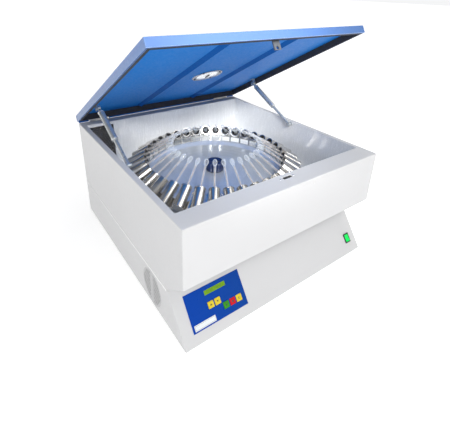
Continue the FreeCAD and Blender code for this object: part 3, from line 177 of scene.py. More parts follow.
def brushed(name, color, roughness, grain, spread=0.12, anisotropic=0.4, streaks=None, metallic=1.0,
            scratch=0.2, uneven=(0.75, 1.3)):
    """Metal with a drawn grain: long fine scratches along one axis, tone and gloss varying with them."""
    shader = Shader(name, color, metallic=metallic, roughness=roughness, anisotropic=anisotropic)
    lines = shader.noise(1.0, 4, shader.stretched(grain), 0.65)
    fine = shader.noise(2.7, 3, shader.stretched(grain), 0.6)
    blotch = shader.noise(9, 3)
    both = shader.maths("ADD", shader.maths("MULTIPLY", lines, 0.7), shader.maths("MULTIPLY", blotch, 0.3))
    shader.tint(shader.band(both, 0.3, 0.7), scaled(color, 1 - spread), scaled(color, 1 + spread))
    shader.rough(shader.band(fine, 0.3, 0.7, roughness * uneven[0], roughness * uneven[1]))
    shader.bump(lines, scratch, 0.00004)
    if streaks:
        shader.bump(shader.noise(1.0, 2, shader.stretched(streaks)), 0.4, 0.003)
    return shader.material


def turned_metal(name, color, roughness, metallic):
    """Disc turned on a lathe: fine rings about the rotor's axis over slow cloudy patches."""
    shader = Shader(name, color, metallic=metallic, roughness=roughness, anisotropic=0.5)
    shift = {0: shader.place, 1: tuple(-ROTOR_CENTRE)}
    moved = shader.add("ShaderNodeVectorMath", shift, operation="ADD").outputs[0]
    apart = shader.add("ShaderNodeSeparateXYZ", {"Vector": moved})
    square = [shader.maths("MULTIPLY", apart.outputs[i], apart.outputs[i]) for i in (0, 1)]
    radius = shader.maths("SQRT", shader.maths("ADD", *square))
    ring_place = shader.add("ShaderNodeCombineXYZ", {0: radius}).outputs[0]
    rings = shader.noise(2200, 3, ring_place, 0.7)
    wide = shader.noise(160, 2, ring_place)
    cloud = shader.noise(11, 4)
    both = shader.maths("ADD", shader.maths("MULTIPLY", wide, 0.5), shader.maths("MULTIPLY", cloud, 0.5))
    shader.tint(shader.band(both, 0.35, 0.65), scaled(color, 0.9), scaled(color, 1.1))
    shader.rough(shader.band(rings, 0.3, 0.7, roughness * 0.7, roughness * 1.4))
    shader.bump(rings, 0.25, 0.00003)
    shader.bump(cloud, 0.15, 0.0008)
    return shader.material


def moulded(name, color, roughness, texture=700.0, depth=0.00005, strength=0.35, **sockets):
    """Moulded plastic or rubber: fine spark-eroded texture, uneven gloss and a rubbed, paler edge."""
    shader = Shader(name, color, roughness=roughness, **sockets)
    drift = shader.tint(shader.noise(25, 4), scaled(color, 0.85), scaled(color, 1.15))
    shader.worn(drift, scaled([part + 0.02 for part in color], 1.5))
    shader.rough(shader.band(shader.noise(120, 3), 0.3, 0.7, roughness * 0.8, roughness * 1.2))
    shader.bump(shader.noise(texture, 3), strength, depth)
    return shader.material


def foam(name):
    """Closed-cell foam strip: tiny cells, deep matt black with dusty tops."""
    shader = Shader(name, (0.02, 0.021, 0.025), roughness=0.85)
    cell = shader.cells(950)
    shader.tint(shader.band(cell, 0.0, 0.6), (0.012, 0.012, 0.016), (0.045, 0.046, 0.055))
    shader.rough(shader.band(shader.noise(60), 0.3, 0.7, 0.75, 0.95))
    shader.bump(cell, 0.6, 0.0003)
    return shader.material


def glass(name, color, roughness=0.02, ior=1.47):
    """Clear glass or acrylic with faint waves and duller patches."""
    shader = Shader(name, color, roughness=roughness, transmission_weight=1.0)
    shader.bsdf.inputs["IOR"].default_value = ior
    shader.tint(shader.noise(30, 2), scaled(color, 0.97), scaled(color, 1.02))
    shader.rough(shader.band(shader.noise(240, 3), 0.45, 0.8, roughness, roughness + 0.05))
    shader.bump(shader.noise(45, 2), 0.05, 0.0004)
    return shader.material


def thin_glass(name, color):
    """Thin clear glass: nearly invisible face on, denser at its edges."""
    shader = Shader(name, color, roughness=0.05)
    shader.bsdf.inputs["IOR"].default_value = 1.47
    shader.tint(shader.noise(60, 2), scaled(color, 0.94), color)
    shader.rough(shader.band(shader.noise(240, 3), 0.4, 0.8, 0.03, 0.12))
    shader.bump(shader.noise(80, 2), 0.05, 0.0003)
    facing = shader.add("ShaderNodeLayerWeight", {"Blend": 0.35}).outputs["Facing"]
    shader.links.new(shader.band(facing, 0.1, 0.9, 0.1, 0.85), shader.bsdf.inputs["Alpha"])
    return shader.material


def printed_film(name, color, deep):
    """Polyester film printed on its back: pebbled matt face, a blue that deepens from left to right."""
    shader = Shader(name, color, roughness=0.34)
    shader.bsdf.inputs["Specular IOR Level"].default_value = 0.18
    across = shader.add("ShaderNodeSeparateXYZ", {"Vector": shader.place}).outputs[0]
    sweep = shader.band(across, -260 * MM, -130 * MM)
    deepening = shader.maths("MULTIPLY", sweep, 0.75)
    speckle = shader.maths("MULTIPLY", shader.noise(90, 4), 0.25)
    shader.tint(shader.maths("ADD", deepening, speckle), color, deep)
    shader.rough(shader.band(shader.noise(500, 2), 0.3, 0.7, 0.27, 0.42))
    shader.bump(shader.cells(1800), 0.25, 0.00004)
    return shader.material


def key_cap(name, color):
    """Snap-dome key under film: pebbled face with a deeper tone round its edge."""
    shader = Shader(name, color, roughness=0.38)
    shader.bsdf.inputs["Specular IOR Level"].default_value = 0.25
    edge = shader.add("ShaderNodeNewGeometry").outputs["Pointiness"]
    mottled = shader.tint(shader.noise(300, 3), scaled(color, 0.93), scaled(color, 1.06))
    shader.tint(shader.band(edge, 0.5, 0.6), mottled, scaled(color, 0.7))
    shader.rough(shader.band(shader.noise(420, 2), 0.3, 0.7, 0.3, 0.46))
    shader.bump(shader.cells(1900), 0.2, 0.00004)
    return shader.material


def backlit(name, color, light, strength):
    """Lit plastic whose glow varies gently across it."""
    shader = Shader(name, color, roughness=0.25)
    shader.bsdf.inputs["Specular IOR Level"].default_value = 0.3
    glow = shader.noise(60, 2)
    shader.tint(glow, scaled(color, 0.8), scaled(color, 1.15))
    shader.rough(shader.band(shader.noise(400, 2), 0.3, 0.7, 0.18, 0.32))
    shader.bsdf.inputs["Emission Color"].default_value = (*light, 1)
    shader.links.new(shader.band(glow, 0.25, 0.75, strength * 0.75, strength * 1.25),
                     shader.bsdf.inputs["Emission Strength"])
    shader.bump(shader.noise(900, 2), 0.2, 0.00003)
    return shader.material


def board_green(name):
    """Fibreglass board: green lacquer with a net of lighter, slightly sunken lines."""
    shader = Shader(name, (0.02, 0.16, 0.07), roughness=0.35)
    traces = shader.cells(160, "DISTANCE_TO_EDGE")
    shader.tint(shader.band(traces, 0.03, 0.08), (0.05, 0.3, 0.14), (0.015, 0.13, 0.055))
    shader.rough(shader.band(shader.noise(90), 0.3, 0.7, 0.28, 0.45))
    shader.bump(shader.band(traces, 0.03, 0.08), 0.3, 0.00008)
    return shader.material


def studio_floor(name):
    """Pale seamless paper with a barely visible tooth."""
    shader = Shader(name, (0.75, 0.75, 0.755), roughness=0.75)
    shader.bsdf.inputs["Emission Color"].default_value = (1, 1, 1, 1)
    away = shader.add("ShaderNodeVectorMath", {0: shader.place}, operation="LENGTH").outputs["Value"]
    shader.links.new(shader.band(away, 0.5, 3.0, 0.5, 0.9), shader.bsdf.inputs["Emission Strength"])
    shader.tint(shader.noise(3, 3), (0.745, 0.745, 0.75), (0.76, 0.76, 0.76))
    shader.rough(shader.band(shader.noise(14), 0.3, 0.7, 0.7, 0.85))
    shader.bump(shader.noise(450, 2), 0.05, 0.0001)
    return shader.material


# The white coat's near-white edge colour is a painted highlight along its sharp edges.
WHITE = coat("white_powder_coat", (0.63, 0.63, 0.635), 0.38, edge_color=(0.95, 0.95, 0.96))
# Near-white gloss for the seam strip: a painted highlight along the seam.
SEAM_HIGHLIGHT_WHITE = coat("white_seam_painted_highlight", (0.99, 0.99, 0.99), 0.3, gloss=0.6)
BLUE = coat("blue_powder_coat", (0.05, 0.145, 0.39), 0.48, gloss=0.7, edge_color=(0.3, 0.42, 0.68))
# The lid's blue paint made brighter and more saturated for the lining: partly painted sheen.
INNER_BLUE_WITH_SHEEN = coat("blue_lining_painted_sheen", (0.004, 0.19, 0.63), 0.5, gloss=0.0, specular=0.22)
# A darker copy of the lid's blue for the ribs and the rear apron: painted shade.
SHADED_BLUE = coat("blue_rib_coat_painted_shade", (0.001, 0.10, 0.41), 0.55, gloss=0.0, specular=0.2)
# A darker copy of the white coat for the side vents: painted shade in the vents.
VENT_SHADED_WHITE = coat("vent_coat_painted_shade", (0.52, 0.52, 0.525), 0.5)
TUB = brushed("satin_tub_steel", (0.975, 0.98, 0.975), 0.26, (900, 900, 9), spread=0.015, anisotropic=0.2,
              streaks=(17, 17, 0.5), metallic=0.32, scratch=0.03, uneven=(0.93, 1.08))
DISC = turned_metal("turned_disc_steel", (0.71, 0.76, 0.82), 0.22, metallic=0.6)
SLEEVE = brushed("drawn_sleeve_steel", (0.62, 0.60, 0.57), 0.2, (260, 260, 260), spread=0.1, metallic=0.95)
BRIGHT = brushed("polished_steel", (0.83, 0.845, 0.86), 0.22, (300, 60, 300), spread=0.08, metallic=0.75)
STAY = brushed("stay_steel", (0.64, 0.66, 0.66), 0.3, (260, 60, 260), spread=0.08, metallic=0.8)
LATCH = brushed("latch_steel", (0.10, 0.11, 0.125), 0.36, (200, 200, 60), spread=0.12, metallic=0.6)
PLATED = brushed("zinc_plated_steel", (0.70, 0.70, 0.69), 0.3, (200, 200, 200), spread=0.12)
BLACKED = moulded("black_oxide_steel", (0.03, 0.032, 0.038), 0.38, metallic=0.7)
MESH = moulded("dark_mesh", (0.085, 0.08, 0.078), 0.5, metallic=0.4)
GLASS = thin_glass("butyrometer_clear_glass", (0.90, 0.94, 0.97))
ACRYLIC = glass("acrylic_pane", (0.96, 0.98, 0.985), roughness=0.03, ior=1.49)
STOPPER = moulded("red_rubber", (0.16, 0.035, 0.025), 0.6)
FILLING = moulded("brown_filling", (0.022, 0.011, 0.008), 0.25)
# Black rubber for the feet, mounts and seal; also the cups that are painted shade in the sleeve mouths.
RUBBER_AND_SHADE = moulded("black_rubber", (0.022, 0.022, 0.024), 0.62, texture=400.0, depth=0.0001)
FOAM = foam("gasket_foam")
KNOB = moulded("navy_knob_plastic", (0.012, 0.022, 0.07), 0.2, texture=600.0, depth=0.00003, strength=0.2)
FILM = printed_film("blue_membrane_film", (0.0, 0.05, 0.36), (0.002, 0.05, 0.28))
YELLOW = key_cap("yellow_key", (0.98, 0.76, 0.05))
GREEN = key_cap("green_key", (0.05, 0.37, 0.02))
RED = key_cap("red_key", (0.8, 0.014, 0.02))
BLACK = moulded("black_plastic", (0.014, 0.014, 0.016), 0.33)
LIT_GREEN = backlit("lit_green_rocker", (0.01, 0.55, 0.07), light=(0.0, 0.75, 0.12), strength=0.55)
DISPLAY = backlit("display_backlight", (0.14, 0.28, 0.012), light=(0.2, 0.42, 0.02), strength=0.15)
LABEL = brushed("label_foil", (0.84, 0.88, 0.90), 0.4, (700, 30, 700), spread=0.05, metallic=0.25)
CIRCUIT = board_green("circuit_board")
MOTOR = coat("motor_paint", (0.1, 0.115, 0.13), 0.45, edge_color=(0.3, 0.31, 0.32))
BRASS = brushed("brass_pins", (0.72, 0.52, 0.24), 0.25, (300, 300, 60), spread=0.1)
COLUMN = moulded("fat_column", (0.30, 0.225, 0.18), 0.4)
# Dark ink for print and marks; also the blocks that are painted shade in the stay slots.
INK_AND_SLOT_SHADE = moulded("dark_ink_and_slot_shade", (0.02, 0.03, 0.03), 0.5)

NODE_LOOKS = {
    WHITE: "upper_casing lower_casing",
    VENT_SHADED_WHITE: "side_vents",
    BLUE: "lid_shell",
    SHADED_BLUE: "lid_ribs",
    TUB: "chamber_liner",
    DISC: "rotor_disc",
    SLEEVE: "rotor_sleeves sleeve_ring sleeve_posts",
    BRIGHT: "drive_shaft",
    STAY: "stay_rod_left stay_rod_right stay_barrel_left stay_barrel_right"
          " stay_wall_studs stay_lid_brackets",
    PLATED: "base_plate motor_deck hinge_casing_leaves hinge_lid_leaves hinge_pins"
            " shaft_bearings heater_element lock_housing",
    LATCH: "lid_striker lock_bolt",
    BLACKED: "lock_plate",
    MESH: "heater_grille",
    ACRYLIC: "lid_window",
    STOPPER: "butyrometer_stoppers",
    RUBBER_AND_SHADE: "rubber_feet motor_mounts shaft_seal",
    FOAM: "lid_gasket",
    FILM: "control_panel",
    YELLOW: "key_up key_down key_lid",
    GREEN: "key_start",
    RED: "key_stop",
    BLACK: "switch_frame mains_inlet fuse_drawer fan_frame fan_impeller speed_sensor",
    LIT_GREEN: "rocker_button",
    DISPLAY: "display_window",
    LABEL: "label_plate",
    CIRCUIT: "control_board drive_electronics",
    MOTOR: "motor_housing",
    BRASS: "inlet_pins",
}


def dress_nodes():
    """Give every carried-over CAD node its material."""
    for material, names in NODE_LOOKS.items():
        for name in names.split():
            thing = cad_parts[name]
            thing.data.materials.clear()
            thing.data.materials.append(material)


def soften(names, width):
    """Round the sharp edges of CAD nodes a little, so that they catch the light as folded sheet does."""
    for name in names.split():
        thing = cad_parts[name]
        weld = thing.modifiers.new("weld", "WELD")
        weld.merge_threshold = 0.00002
        bevel = thing.modifiers.new("edge", "BEVEL")
        bevel.width = width
        bevel.segments = 2
        bevel.limit_method = "ANGLE"
        bevel.angle_limit = math.radians(35)
        bevel.harden_normals = True
        bevel.use_clamp_overlap = True


# ---------------------------------------------------------------- mesh building

def piece(name, bm, material, body, replaced=(), smooth=True, angle=35.0):
    """Turn mesh code into a finished piece that rides on a CAD body."""
    bmesh.ops.recalc_face_normals(bm, faces=bm.faces)
    mesh = bpy.data.meshes.new(name)
    bm.to_mesh(mesh)
    bm.free()
    mesh.materials.append(material)
    thing = bpy.data.objects.new(name, mesh)
    bpy.context.scene.collection.objects.link(thing)
    if smooth:
        mesh.shade_smooth()
        mesh.set_sharp_from_angle(angle=math.radians(angle))
    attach(thing, body)
    if replaced:
        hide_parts(*replaced)
    return thing


def in_mm(profile):
    """An outline of (radius, height) pairs in millimetres, turned into metres."""
    return [(radius * MM, height * MM) for radius, height in profile]


def skin(bm, rings):
    """Faces from each ring of points to the next."""
    count = len(rings[0])
    for low, high in zip(rings, rings[1:]):
        for i in range(count):
            after = (i + 1) % count
            bm.faces.new((low[i], low[after], high[after], high[i]))


def cap(bm, rings):
    """Close the first and the last ring with a face each."""
    bm.faces.new(rings[0][::-1])
    bm.faces.new(rings[-1])


def lathe(bm, profile, place, segments=24):
    """Turn (radius, height) or (radius, height, sides) rings about Z, close both ends and place them."""
    rings = []
    for ring in profile:
        radius, height = ring[:2]
        sides = ring[2] if len(ring) > 2 else 0
        spots = []
        for i in range(segments):
            turn = 2 * math.pi * i / segments
            reach = radius
            if sides:
                half = math.pi / sides
                reach = radius * math.cos(half) / math.cos((turn % (2 * half)) - half)
            spot = Vector((reach * math.cos(turn), reach * math.sin(turn), height))
            spots.append(bm.verts.new(place @ spot))
        rings.append(spots)
    skin(bm, rings)
    cap(bm, rings)


def block(bm, size, centre, place, bevel=0.0):
    """A block about a centre, with rounded edges, moved into place."""
    sized = Matrix.Translation(centre) @ Matrix.Diagonal((*size, 1))
    made = bmesh.ops.create_cube(bm, size=1.0, matrix=sized)
    if bevel:
        edges = list({edge for vert in made["verts"] for edge in vert.link_edges})
        made = bmesh.ops.bevel(bm, geom=edges, offset=bevel, segments=2, profile=0.5, affect="EDGES")
    bmesh.ops.transform(bm, matrix=place, verts=made["verts"])


def plate(bm, outline, low, high, place):
    """A flat shape with a closed outline, between two heights."""
    under = [bm.verts.new(place @ Vector((x, y, low))) for x, y in outline]
    over = [bm.verts.new(place @ Vector((x, y, high))) for x, y in outline]
    count = len(outline)
    for i in range(count):
        bm.faces.new((under[i], under[(i + 1) % count], over[(i + 1) % count], over[i]))
    bm.faces.new(under[::-1])
    bm.faces.new(over)


def tube_frames():
    """One frame per sleeve: Z from its closed outer end up to the rotor's axis, X to its upper side."""
    outer_radius = MOUTH_RADIUS + SLEEVE_LENGTH * math.cos(TUBE_TILT)
    outer_z = MOUTH_Z - SLEEVE_LENGTH * math.sin(TUBE_TILT)
    lean = Matrix.Translation((outer_radius, 0, outer_z)) @ Matrix.Rotation(TUBE_TILT - math.pi / 2, 4, "Y")
    frames = []
    for i in range(TUBE_COUNT):
        turn = Matrix.Rotation(math.pi * (2 * i + 1) / TUBE_COUNT, 4, "Z")
        frames.append(Matrix.Translation(ROTOR_CENTRE) @ turn @ lean)
    return frames


# ---------------------------------------------------------------- fine pieces

def butyrometers():
    """Glass outer shell with shoulder, neck and end bulb; a filling and a column in it, scale marks on it."""
    outside = in_mm([
        (10.6, 12), (11.3, 12.8), (11.3, 43), (10.9, 46), (9.2, 50), (6.3, 53), (4.1, 55.5), (3.1, 59),
        (3.1, 133), (3.5, 136), (5.2, 139.5), (6.4, 143), (6.6, 146.5), (6.2, 150), (4.6, 153.6),
        (2.4, 156), (1.0, 156.9),
    ])
    filled = in_mm([(10.2, 12.4), (10.9, 13), (10.9, 43), (10.4, 46), (8.6, 49), (2.0, 49.4)])
    column = in_mm([(0.4, 57), (0.95, 58), (0.95, 131), (0.4, 131.6)])
    mark_count, first_mark, mark_pitch, mark_x = 15, 66, 4.5, -3.12 * MM
    glass_mesh, filling_mesh, column_mesh, mark_mesh = [bmesh.new() for _ in range(4)]
    for place in tube_frames():
        lathe(glass_mesh, outside, place, 16)
        lathe(filling_mesh, filled, place, 16)
        lathe(column_mesh, column, place, 8)
        for step in range(mark_count):
            half_length = 1.5 if step % 5 == 0 else 0.9
            size = (0.12 * MM, 2 * half_length * MM, 0.22 * MM)
            block(mark_mesh, size, (mark_x, 0, (first_mark + mark_pitch * step) * MM), place)
    piece("glass_butyrometers", glass_mesh, GLASS, "rotor", ("butyrometer_glass",), angle=50.0)
    piece("butyrometer_fillings", filling_mesh, FILLING, "rotor")
    piece("butyrometer_columns", column_mesh, COLUMN, "rotor")
    piece("butyrometer_scales", mark_mesh, INK_AND_SLOT_SHADE, "rotor", smooth=False)


def sleeve_mouth_shade_cups():
    """Black cup in each sleeve's mouth, around the butyrometer's shoulder: painted shade standing in for the
    dark inside of the sleeve mouths.
    """
    bm = bmesh.new()
    cup = in_mm([(2.0, 46.6), (12.7, 46.6), (12.7, 62.8), (12.1, 63.2),
                 (11.9, 62.4), (11.7, 53.4), (10.4, 51.6), (2.0, 51.2)])
    for place in tube_frames():
        lathe(bm, cup, place, 20)
    piece("sleeve_mouth_shade_cups", bm, RUBBER_AND_SHADE, "rotor")


def hub_knob():
    """Fluted hand knob with a dished crown that holds the disc on the shaft."""
    bm = bmesh.new()
    flutes, flute_depth, segments = 10, 2.6, 120
    profile = [(6.2, 20), (6.2, 0.2), (25.5, 0.2), (27.5, 1.2), (29.2, 5), (29.8, 9), (29.8, 21), (29.2, 25),
               (27.2, 28.2), (24, 30.2), (20.5, 30.9), (17.5, 30.6), (13, 29.2), (7, 28.4), (2, 28.2)]

    def grip(radius, height):
        """How deep the flutes are at a ring: full on the side, shallow at its ends, none on the crown."""
        if radius > 28 and 4 < height < 27:
            return 1.0
        return 0.45 if radius > 25 and height > 1 else 0.0

    rings = []
    for radius, height in profile:
        spots = []
        for i in range(segments):
            turn = 2 * math.pi * i / segments
            hollow = max(0.0, math.cos(flutes * turn)) ** 3
            reach = (radius - flute_depth * grip(radius, height) * hollow) * MM
            spot = Vector((reach * math.cos(turn), reach * math.sin(turn), DISC_TOP + height * MM))
            spots.append(bm.verts.new(ROTOR_CENTRE + spot))
        rings.append(spots)
    skin(bm, rings)
    cap(bm, rings)
    piece("fluted_hub_knob", bm, KNOB, "rotor", ("rotor_knob",), angle=50.0)


def socket_screw(bm, place, head, height, shank, length):
    """Button-head screw with a hexagon socket, head up along Z from its seat."""
    socket = head * 0.5
    lathe(bm, [
        (shank * 0.8, -length), (shank, -length * 0.92), (shank, 0.0),
        (head * 0.96, 0.0), (head, height * 0.25), (head * 0.93, height * 0.62), (head * 0.75, height * 0.9),
        (socket * 1.1, height), (socket, height * 0.98, 6), (socket * 0.97, height * 0.35, 6),
        (socket * 0.2, height * 0.28),
    ], place)


def screws():
    """The screws that show, each with its socket: lid window, lock plate, feet and back of the casing."""
    upside_down = Matrix.Rotation(math.pi, 4, "X")
    rearward = Matrix.Rotation(-math.pi / 2, 4, "X")

    ring, seat = 39 * MM, LID_INNER - 3 * MM
    bm = bmesh.new()
    for i in range(4):
        turn = math.radians(45 + 90 * i)
        spot = Vector((ring * math.cos(turn), -WINDOW_CENTRE + ring * math.sin(turn), seat))
        place = LID_FRAME @ Matrix.Translation(spot) @ upside_down
        socket_screw(bm, place, head=2.8 * MM, height=1.5 * MM, shank=1.6 * MM, length=3 * MM)
    piece("window_screws_socketed", bm, BLACKED, "lid", ("window_screws",))

    bm = bmesh.new()
    for side in (-1, 1):
        place = Matrix.Translation((side * 21.5 * MM, FRONT_Y + 39.5 * MM, TOP_Z))
        socket_screw(bm, place, head=2.8 * MM, height=1.2 * MM, shank=1.6 * MM, length=3.5 * MM)
    piece("lock_screws_socketed", bm, BRIGHT, "machine", ("lock_screws",))

    large = {"head": 4.5 * MM, "height": 2.5 * MM, "shank": 2.5 * MM, "length": 11.5 * MM}
    bm = bmesh.new()
    for x in (-1, 1):
        back = Matrix.Translation((x * 286 * MM, 327 * MM, 40 * MM))
        socket_screw(bm, back @ rearward, **large)
        for y in (-1, 1):
            under = Matrix.Translation((x * 265 * MM, y * 285 * MM, 4 * MM))
            socket_screw(bm, under @ upside_down, **large)
    piece("casing_screws_socketed", bm, PLATED, "machine", ("casing_screws",))


def stay_details():
    """On each stay's barrel a row of dark blocks along both sides, painted shade in place of open slots, and
    a bright band near each end.
    """
    run = HINGE.y - PIVOT_REACH * math.cos(LID_OPEN) - STAY_FOOT.y
    rise = HINGE.z + PIVOT_REACH * math.sin(LID_OPEN) - STAY_FOOT.z
    lean = Matrix.Rotation(math.atan2(rise, run), 4, "X")
    slot_size = (0.5 * MM, 6 * MM, 3.4 * MM)
    for side, hand in (("left", -1), ("right", 1)):
        place = Matrix.Translation(STAY_FOOT + Vector((hand * STAY_X, 0, 0))) @ lean
        bm = bmesh.new()
        for i in range(11):
            along = (104 + 8.6 * i) * MM
            for face in (-1, 1):
                block(bm, slot_size, (face * 8.4 * MM, along, 0), place, 0.2 * MM)
        # Dark blocks on the barrel: painted shade in place of open slots.
        piece(f"stay_slot_shades_{side}", bm, INK_AND_SLOT_SHADE, f"stay_barrel_{side}_body")
        bm = bmesh.new()
        upright = place @ Matrix.Rotation(-math.pi / 2, 4, "X")
        for start, end in ((92.6, 96), (198.6, 202)):
            band = in_mm([(8.3, start), (8.9, start + 0.5), (8.9, end - 0.5), (8.3, end)])
            lathe(bm, band, upright, 32)
        piece(f"stay_bands_{side}", bm, BRIGHT, f"stay_barrel_{side}_body")


def window_trim():
    """Small black bar across the middle of the lid's window."""
    bm = bmesh.new()
    place = LID_FRAME @ Matrix.Translation((0, -WINDOW_CENTRE, LID_INNER - 3 * MM))
    block(bm, (4 * MM, 22 * MM, 3 * MM), (0, 0, -1.4 * MM), place, 0.6 * MM)
    piece("window_bar", bm, BLACK, "lid")


def lid_lining():
    """Pressed inner panel of the lid, with a raised ring round its window opening."""
    bm = bmesh.new()
    half_width, front, back, corner = 301.5 * MM, -631.5 * MM, -17.5 * MM, 6 * MM
    segments, opening = 64, 46.5 * MM
    top, under = LID_INNER - 0.05 * MM, LID_INNER - 0.6 * MM
    ring_under = under - 1.1 * MM
    centre = Vector((0, -WINDOW_CENTRE))
    half = Vector((half_width, (back - front) / 2))
    middle = Vector((0, (back + front) / 2))

    def to_edge(ray):
        """How far a ray from the window's centre runs before it meets the panel's edge."""
        axes = [i for i in (0, 1) if abs(ray[i]) > 1e-6]
        return min((math.copysign(half[i], ray[i]) + middle[i] - centre[i]) / ray[i] for i in axes)

    corners = [math.atan2(y - centre.y, x) for x in (-half_width, half_width) for y in (front, back)]
    turns = sorted([2 * math.pi * i / segments - math.pi for i in range(segments)] + corners)
    rows = []
    for level, radius in ((top, None), (under, None), (under, opening + 4.5 * MM),
                          (ring_under, opening + 3 * MM), (ring_under, opening), (top, opening)):
        spots = []
        for turn in turns:
            ray = Vector((math.cos(turn), math.sin(turn)))
            reach = to_edge(ray) if radius is None else radius
            spots.append(bm.verts.new(LID_FRAME @ Vector((*(centre + ray * reach), level))))
        rows.append(spots)
    skin(bm, rows + rows[:1])
    # The lining's brighter blue is partly a painted sheen on the lid's underside.
    piece("lid_lining", bm, INNER_BLUE_WITH_SHEEN, "lid")


def seam_highlight_trim():
    """Strip along the seam at both sides and the back, near-white and far brighter than the casing: a painted
    highlight for the lit folded edge of the base.
    """
    bm = bmesh.new()
    identity = Matrix.Identity(4)
    seam, high, thick, proud, edge = 118.8 * MM, 3.4 * MM, 1.4 * MM, 0.6 * MM, 0.3 * MM
    for side in (-1, 1):
        centre = (side * (309.3 * MM + proud), 35.0 * MM, seam)
        block(bm, (thick, 582 * MM, high), centre, identity, edge)
    block(bm, (616 * MM, thick, high), (0, 326.3 * MM + proud, seam), identity, edge)
    piece("seam_highlight_trim", bm, SEAM_HIGHLIGHT_WHITE, "machine")


def rear_apron():
    """Narrow folded strip along the lid's back edge, broken at the hinges, over the gap to the casing."""
    bm = bmesh.new()
    for start, end in ((-309, -277), (-213, 213), (277, 309)):
        middle, length = (start + end) / 2 * MM, (end - start) * MM
        block(bm, (length, 1 * MM, 8.5 * MM), (middle, -5.0 * MM, -0.7 * MM), LID_FRAME, 0.3 * MM)
    # Its darker blue is painted shade between the lid and the casing.
    piece("lid_rear_apron", bm, SHADED_BLUE, "lid")


def digit(bm, number, left, low, place):
    """A seven-segment digit in thin raised bars."""
    tall, wide, thick = 3.6 * MM, 2.0 * MM, 0.42 * MM
    lit = {0: "abcdef", 1: "bc", 5: "acdfg"}[number]
    bars = {
        "a": (0, tall, 1),
        "b": (wide / 2, tall * 0.75, 0),
        "c": (wide / 2, tall * 0.25, 0),
        "d": (0, 0, 1),
        "e": (-wide / 2, tall * 0.25, 0),
        "f": (-wide / 2, tall * 0.75, 0),
        "g": (0, tall / 2, 1),
    }
    for segment in lit:
        x, y, level = bars[segment]
        size = (wide - thick, thick, 0.1 * MM) if level else (thick, tall / 2 - thick, 0.1 * MM)
        block(bm, size, (left + x, low + y, 1.24 * MM), place)


def display_digits():
    """Speed and running time as plain digits in two groups, with a colon in the time."""
    bm = bmesh.new()
    pitch, foot = 4.4, 93.2 * MM
    for group, numbers in ((-219.5, (1, 1, 0, 0)), (-194.5, (0, 5, 0, 0))):
        for i, number in enumerate(numbers):
            digit(bm, number, (group + pitch * i) * MM, foot, PANEL_FRAME)
    for dot in (94.3, 95.9):
        block(bm, (0.45 * MM, 0.45 * MM, 0.1 * MM), (-187.9 * MM, dot * MM, 1.24 * MM), PANEL_FRAME)
    piece("display_digits", bm, INK_AND_SLOT_SHADE, "machine", smooth=False)


def key_marks():
    """A plain symbol on each key: up, down, start, stop and open lid."""
    top = 2.1 * MM
    shapes = {
        "key_up": (-220.5, 65.5, [[(-2.6, -1.8), (2.6, -1.8), (0, 2.6)]]),
        "key_down": (-201.7, 65.5, [[(-2.6, 1.8), (0, -2.6), (2.6, 1.8)]]),
        "key_start": (-183.0, 48.0, [[(-2, -2.6), (2.8, 0), (-2, 2.6)]]),
        "key_stop": (-164.3, 48.0, [[(-2.3, -2.3), (2.3, -2.3), (2.3, 2.3), (-2.3, 2.3)]]),
        "key_lid": (-145.6, 48.0, [[(-3, -2.6), (3, -2.6), (3, -1.6), (-3, -1.6)],
                                   [(-3, -0.6), (2.7, 1.8), (2.3, 2.7), (-3, 0.5)]]),
    }
    for name, (x, s, outlines) in shapes.items():
        bm = bmesh.new()
        for outline in outlines:
            corners = [((x + across) * MM, (s + up) * MM) for across, up in outline]
            plate(bm, corners, top - 0.1 * MM, top + 0.08 * MM, PANEL_FRAME)
        piece(name + "_mark", bm, INK_AND_SLOT_SHADE, name + "_body", smooth=False)


def label_border():
    """A fine dark frame line on the blank label."""
    bm = bmesh.new()
    x, s, half_x, half_s, line = -247 * MM, 34.5 * MM, 26.5 * MM, 4.6 * MM, 0.35 * MM
    top = 1.93 * MM
    for side in (-1, 1):
        block(bm, (2 * half_x, line, 0.1 * MM), (x, s + side * half_s, top), PANEL_FRAME)
        block(bm, (line, 2 * half_s, 0.1 * MM), (x + side * half_x, s, top), PANEL_FRAME)
    piece("label_border", bm, INK_AND_SLOT_SHADE, "machine", smooth=False)


def front_plug():
    """Small blind plug in the front face, right of the middle."""
    bm = bmesh.new()
    place = Matrix.Translation((53 * MM, FRONT_Y, 316 * MM)) @ Matrix.Rotation(math.pi / 2, 4, "X")
    lathe(bm, in_mm([(1.9, -0.4), (1.9, 0.3), (1.3, 0.7), (0.3, 0.8)]), place)
    piece("front_plug", bm, PLATED, "machine")


# ---------------------------------------------------------------- studio

def camera():
    """Camera above the machine's front left corner."""
    yaw, pitch, roll = math.radians(36.76), math.radians(23.25), math.radians(1.88)
    forward = Vector((math.sin(yaw) * math.cos(pitch), math.cos(yaw) * math.cos(pitch), -math.sin(pitch)))
    level = Vector((math.cos(yaw), -math.sin(yaw), 0))
    lift = level.cross(forward)
    right = math.cos(roll) * level + math.sin(roll) * lift
    up = math.cos(roll) * lift - math.sin(roll) * level
    lens = bpy.data.cameras.new("camera")
    lens.sensor_width = 36
    lens.lens = 28.56
    lens.shift_y = -0.16
    eye = bpy.data.objects.new("camera", lens)
    turn = Matrix((right, up, -forward)).transposed().to_4x4()
    eye.matrix_world = Matrix.Translation((-0.5709, -0.8049, 0.7398)) @ turn
    bpy.context.scene.collection.objects.link(eye)
    bpy.context.scene.camera = eye


